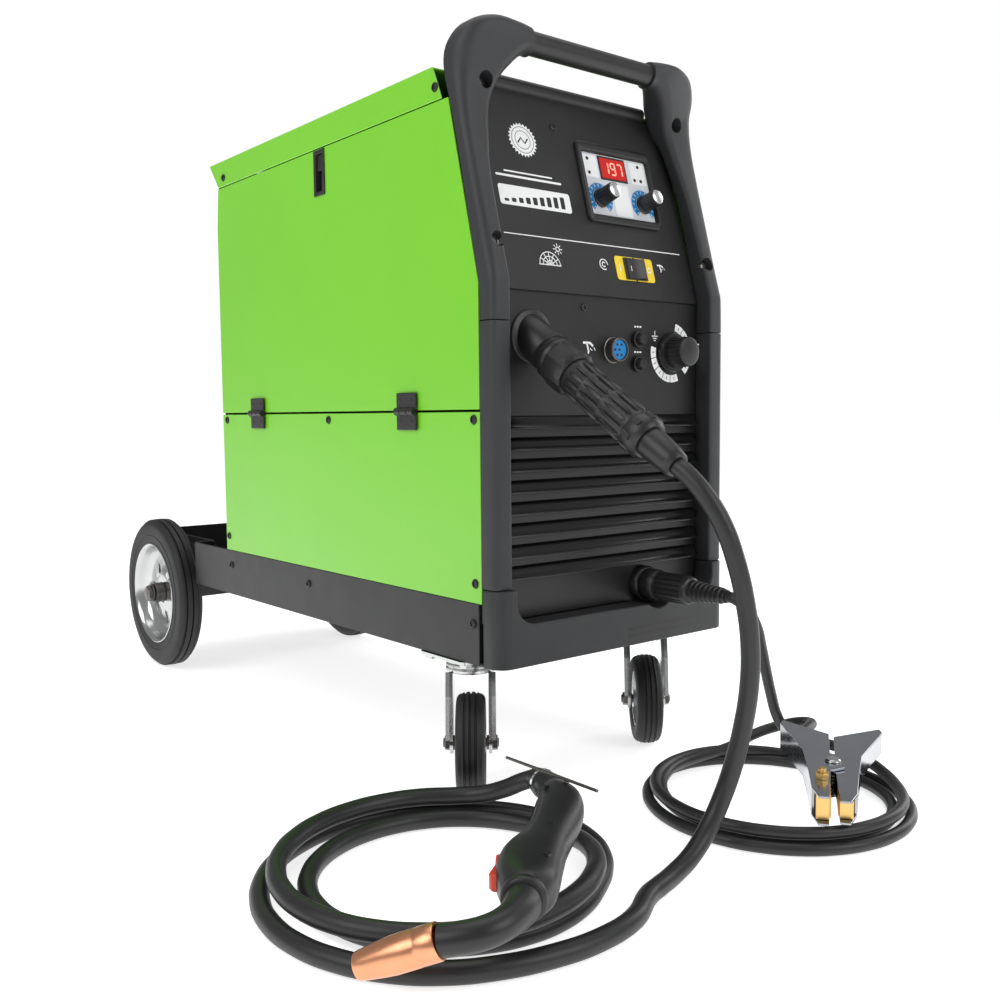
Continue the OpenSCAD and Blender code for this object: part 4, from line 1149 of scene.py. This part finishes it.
euroSpec = dict(place=(-88, 0, 405), lean=32.5)
euroPlace = cabinet @ turned(x=90 + euroSpec["lean"], about=euroSpec["place"])
collar = Shape(euroPlace, "moulded")
collar.lathe([(0, -12), (17.5, -12), (17.5, 27), (16.8, 28), (16.8, 29.5), (17.5, 30.5), (17.5, 36), (0, 36)])
collar.lathe([(0, -2.6), (13.4, -2.6), (13.4, 0), (23, 0), (23, 1.6), (21.6, 2.6), (0, 2.6)],
             turned(x=-euroSpec["lean"]))
collar.piece("torchSocket", slot="black_plastic", stands=("euro_socket",), corner=38)
plugSpec = dict(ribs=14, lugs=8)
plug = Shape(euroPlace, "moulded")
plug.lathe([(0, 36), (18.6, 36), (19.4, 37), (19.4, 41), (18.6, 43), (0, 43)])
nutRings = []
for z, r in ((43, 19.6), (44.4, 20.8), (52, 21), (60, 20.6), (65.5, 20), (67, 18.8)):
    ring = []
    for i in range(64):
        a = 2 * math.pi * i / 64
        flat = (1 - 0.055 * abs(math.cos(4 * a)) ** 0.6) if 44 < z < 66 else 0.93
        ring.append((r * flat * math.cos(a), r * flat * math.sin(a), z))
    nutRings.append(ring)
plug.rings(nutRings)
plug.lathe([(0, 66), (15.6, 66), (16.4, 69), (15.2, 84), (15.8, 88), (15.8, 90), (15, 92), (15.4, 112),
            (16, 116), (15.2, 119), (15.6, 146), (15.2, 149), (0, 149)])
plug.lathe([(0, 148), (16.6, 148), (17.4, 149.5), (17.4, 160), (16, 163), (14.6, 165), (0, 165)])
plug.lathe([(0, 164), (12.6, 164), (12.8, 170), (11.6, 190), (10.2, 197), (9.4, 198), (0, 198)])
plug.piece("torchPlugBody", slot="black_plastic", stands=("torch_plug",), corner=40)
rib = Shape(metres, "moulded")
ribWidth = 1.9
ribSections = ((0.3, 71), (1, 74), (1, 86), (0.5, 89), (0.5, 93), (1, 96), (1, 112), (0.5, 115), (0.5, 120),
               (1, 123), (1, 142), (0.3, 145))
rib.rings([[(0, ribWidth * k, z), (2.1 * k, ribWidth * k * 0.7, z), (2.1 * k, -ribWidth * k * 0.7, z),
            (0, -ribWidth * k, z)] for k, z in ribSections])
grown("plugRibs", ringNodes, rib, "moulded", euroPlace @ Matrix.Scale(1000, 4),
      {"Count": plugSpec["ribs"], "Radius": 0.0150})
notch = Shape(metres, "moulded")
notch.rings([[(0, 2.6, z), (1.5, 2.08, z), (1.5, -2.08, z), (0, -2.6, z)] for z in (150, 158)])
grown("collarLugs", ringNodes, notch, "moulded", euroPlace @ Matrix.Scale(1000, 4),
      {"Count": plugSpec["lugs"], "Radius": 0.0170})

groundPlace = frontFace @ turned(about=(49, 176, 0))
groundFitting = Shape(groundPlace, "moulded")
groundFitting.lathe([(0, -14), (12.4, -14), (12.4, 0), (17, 0), (17, 6.5), (15.4, 8.6), (15, 9), (0, 9)])
groundFitting.piece("groundSocket", slot="black_plastic", stands=("ground_socket",), corner=38)
groundPlugShape = Shape(groundPlace, "moulded")
boot = []
for i in range(7):
    r, z = 9.9 - 0.42 * i, 66 + 5 * i
    boot += [(r, z), (r, z + 2.4), (r - 1.3, z + 3), (r - 1.3, z + 4.6)]
groundPlugShape.lathe([(0, 9), (14.4, 9), (15, 10), (15, 22), (13.6, 24), (12.8, 26), (13, 60), (12, 63),
                       (10.2, 64)] + boot + [(6.4, 102), (5.9, 104), (0, 104)])
groundPlugShape.piece("groundPlugBody", slot="black_plastic", stands=("ground_plug",), corner=38)
gripRib = Shape(metres, "moulded")
gripRib.rings([[(0, 1.1, z), (0.9, 0.8, z), (0.9, -0.8, z), (0, -1.1, z)] for z in (28, 58)])
grown("groundPlugRibs", ringNodes, gripRib, "moulded", groundPlace @ Matrix.Scale(1000, 4),
      {"Count": 16, "Radius": 0.0126})
print("sockets and plugs")

# Torch handle, neck and nozzle
handleSpec = dict(tail=Vector((-164, -499, 49.5)), head=Vector((-293, -613, 49.5)))
gripAxis = (handleSpec["head"] - handleSpec["tail"]).normalized()
triggerSide = Vector((gripAxis.y, -gripAxis.x, 0)).normalized()
gripPlace = whole @ Matrix((
    (gripAxis.x, triggerSide.x, 0, handleSpec["tail"].x), (gripAxis.y, triggerSide.y, 0, handleSpec["tail"].y),
    (gripAxis.z, triggerSide.z, 1, handleSpec["tail"].z), (0, 0, 0, 1)))  # X to the head, Y to the trigger


def gripRing(x, centre, wide, deep, power=2.6, steps=32):
    ring = []
    for i in range(steps):
        a = 2 * math.pi * i / steps
        c, s = math.cos(a), math.sin(a)
        ring.append((x, centre + wide * math.copysign(abs(c) ** (2 / power), c),
                     deep * math.copysign(abs(s) ** (2 / power), s)))
    return ring


def sweep(points, radii, steps=24, fine=4):
    # Rings along a smoothed line, with the turn carried from ring to ring.
    line, sizes = [], []
    for i in range(len(points) - 1):
        near = [Vector(point) for point in around(points, i)]
        for k in range(fine):
            line.append(between(*near, k / fine))
            sizes.append(radii[i] + (radii[i + 1] - radii[i]) * k / fine)
    line.append(Vector(points[-1]))
    sizes.append(radii[-1])
    normal, rings = Vector((0, 0, 1)), []
    for i, point in enumerate(line):
        ahead = (line[min(i + 1, len(line) - 1)] - line[max(i - 1, 0)]).normalized()
        normal = (normal - ahead * normal.dot(ahead)).normalized()
        side = ahead.cross(normal)
        turns = [2 * math.pi * j / steps for j in range(steps)]
        rings.append([tuple(point + (normal * math.cos(a) + side * math.sin(a)) * sizes[i]) for a in turns])
    return rings


gripSections = [
    (-5, 1.6, 11.6, 11.4, 2), (-2, 0.6, 13.2, 12.6, 2.1), (3, -1.0, 14.6, 13.4, 2.3),
    (12, -3.4, 16.4, 14.4, 2.5), (28, -5.6, 17.6, 15.0, 2.6), (50, -5.8, 17.0, 14.8, 2.7),
    (76, -4.2, 15.8, 14.6, 2.8), (98, -1.4, 16.8, 15.0, 2.8), (113, 1.0, 19.2, 15.8, 2.9),
    (126, 2.2, 20.4, 16.2, 3), (142, 2.0, 20.6, 16.4, 3), (155, 0.8, 19.4, 16.4, 2.8),
    (163, 0, 17.4, 16.0, 2.4), (168, 0, 15.6, 15.4, 2.1), (171.6, 0, 14, 14, 2),
]
grip = Shape(gripPlace, "moulded")
grip.rings(smoothRings([gripRing(*section) for section in gripSections], 2))
grip.lathe([(11, 168), (14.2, 168), (14.6, 169.4), (14.6, 174), (13.4, 176), (11, 176)], turned(y=90),
           bored=True)
grip.piece("torchGrip", slot="black_plastic", stands=("torch_handle",), corner=60)
seam = Shape(gripPlace, "blackSteel")
seam.rings([gripRing(x, -0.9, w, 0.5, 2, 12) for x, w in ((10, 15.0), (56, 14.6), (94, 15.4))], capped=True)
for x, y, top in ((20, 6, 15.0), (88, -6, 15.0), (142, -10, 16.2)):
    seam.lathe([(0, 12.2), (2.6, 12.2), (2.6, top), (1.4, top + 0.1), (0, top + 0.1)],
               turned(about=(x, y, 0)), 18)
seam.piece("gripScrews", slot="black_plastic", corner=50)
tailPoints = [(-150.5, -457.8, 49.5), (-152.3, -468, 49.5), (-157.5, -485.4, 49.5), (-165, -498, 49.5),
              (-171.5, -505.6, 49.5)]
tail = Shape(whole, "moulded")
tail.rings(sweep(tailPoints, (8.4, 10.2, 11.6, 12.6, 12.6)))
tail.piece("gripTail", slot="black_plastic", corner=60)
ringBand = Shape(whole, "chrome")
ringBand.rings(sweep([(-152.9, -470.4, 49.5), (-153.8, -473.6, 49.5)], (11.6, 11.9), 40, 2))
ringBand.piece("tailRing", slot="zinc_steel", corner=50)
trigger = Shape(gripPlace, "red")
triggerOutline = [(120, 13.2), (120, 20), (124, 25.6), (138, 23.6), (152, 25.4), (156, 22.4), (156, 13.2)]
trigger.rings([[(x, y, z) for x, y in triggerOutline] for z in (-5.4, 5.4)])
trigger.piece("torchTriggerLever", "trigger", "red_plastic", ("torch_trigger",), edge=1.2, steps=3, corner=40)

neckPoints = [(-293, -613, 49.5), (-302, -620.5, 49.4), (-313, -626, 49), (-325, -628, 48),
              (-336, -625, 46.2), (-345, -618.5, 44.2), (-353, -610, 42)]
neckRadii = (12.2, 11.2, 9.8, 9.5, 9.5, 9.5, 9.6)
neck = Shape(whole, "moulded")
neck.rings(sweep(neckPoints, neckRadii))
neck.piece("torchNeck", slot="black_plastic", stands=("torch_neck",), corner=60)
nozzleAim = Vector((-0.585, 0.717, -0.377)).to_track_quat("Z", "Y").to_matrix().to_4x4()
nozzlePlace = whole @ Matrix.Translation(neckPoints[-1]) @ nozzleAim
nozzle = Shape(nozzlePlace, "copper")
nozzle.lathe([(9.0, 0), (10.6, 0), (11, 0.8), (11, 12), (10.7, 13), (11, 14), (11, 29), (10.3, 37),
              (9.1, 47), (8.4, 52), (8.0, 53), (7.4, 53), (7.2, 51), (7.3, 43), (7.3, 34), (0.4, 34),
              (0.4, 8), (9.0, 8)], bored=True, steps=72)
nozzle.use("brass")
nozzle.lathe([(0.55, 34), (3.1, 34), (3.1, 47), (2.4, 49.4), (0.55, 49.4)], bored=True, steps=32)
nozzle.lathe([(0.05, 34), (0.5, 34), (0.5, 52.4), (0.05, 52.4)], steps=12)
nozzle.piece("torchNozzle", slot="copper", stands=("torch_nozzle",), corner=40)
hookSpec = dict(radius=1.2, rod=[(-160, -434, 62), (-162, -465, 63.5), (-164, -500, 65), (-166, -545, 66.5)],
                foot=[(-164, -506, 65.2), (-163, -509, 63.6), (-163.5, -511, 61)])
hook = Shape(whole, "shell")
for key in ("rod", "foot"):
    hook.rings(sweep(hookSpec[key], [hookSpec["radius"]] * len(hookSpec[key]), 10, 2))
hook.piece("torchHook", slot="zinc_steel", corner=60)
print("torch")

# Ground clamp
clampSpec = dict(place=(140, -534, 31), turn=215, tilt=3.4, pivot=92)
clampPlace = whole @ turned(z=clampSpec["turn"], about=clampSpec["place"]) @ turned(y=clampSpec["tilt"])
halfOutline = [(0, 42), (8, 44), (70, 24), (110, 20), (150, 17), (166, 12), (166, 4), (112, 2), (104, -9),
               (80, -9), (74, 2), (28, 2)]


def clampHalf(name, body, node, mirrored, z0, z1):
    place = clampPlace @ (Matrix.Scale(-1, 4, (0, 1, 0)) if mirrored else Matrix())
    made = Shape(place, "plated")
    for low in (z0, z1 - 2):
        made.prism(halfOutline, low, low + 2)
    outer, inner = halfOutline[:5], [(150, 14.8), (110, 17.8), (70, 21.8), (8, 41.8), (1, 40)]
    made.prism([(1, 42)] + outer[1:] + inner, z0 + 0.1, z1 - 0.1)
    made.use("brass")
    made.block((120, 3.5, z0 + 2.2), (160, 14, z1 - 2.2))
    for x in (126, 133, 140, 147, 154):
        made.block((x, 2.6, z0 + 3), (x + 3.2, 3.6, z1 - 3))
    made.lathe([(0, 0), (4.6, 0), (4.6, 3), (0, 3)], turned(x=-90, about=(140, 14.4, (z0 + z1) / 2)), 6)
    made.use("zinc")
    if mirrored:
        made.lathe([(0, -1.6), (6, -1.6), (6, 0), (4, 0), (4, 24), (6.4, 24), (6.4, 25.2), (5, 26.4),
                    (0, 26.4)], turned(about=(clampSpec["pivot"], 0, 0)), 28)
        made.use("brass")
        made.lathe([(0, 24), (5.6, 24), (5.6, 29), (0, 29)], turned(about=(130, 9, 0)), 6)
        made.lathe([(0, 24), (3.1, 24), (3.1, 32), (2.5, 32.6), (0, 32.6)], turned(about=(130, 9, 0)), 20)
    made.piece(name, body, "zinc_steel", (node,), edge=0.5, corner=40)


clampHalf("clampLower", "cart", "clamp_lower_jaw", True, 0, 24)
clampHalf("clampUpper", "clamp_half", "clamp_upper_jaw", False, 2.4, 21.6)
coil = Shape(clampPlace, "steel")
spiral = [(clampSpec["pivot"] + 6.4 * math.cos(math.pi * i / 6), 6.4 * math.sin(math.pi * i / 6),
           4.8 + 14.4 * i / 60) for i in range(61)]
coil.rings(sweep(spiral, [1.0] * len(spiral), 8, 1))
coil.rings(sweep([(98.2, 0, 4.8), (80, -10, 4.8), (56, -16, 4.9)], [1.0] * 3, 8, 2))
coil.piece("clampSpring", slot="zinc_steel", corner=60)
print("clamp")

settle(torchCord, "cart", ("torch_cable", "torch_coil"))
settle(groundCord, "cart", ("ground_cable", "ground_coil"))
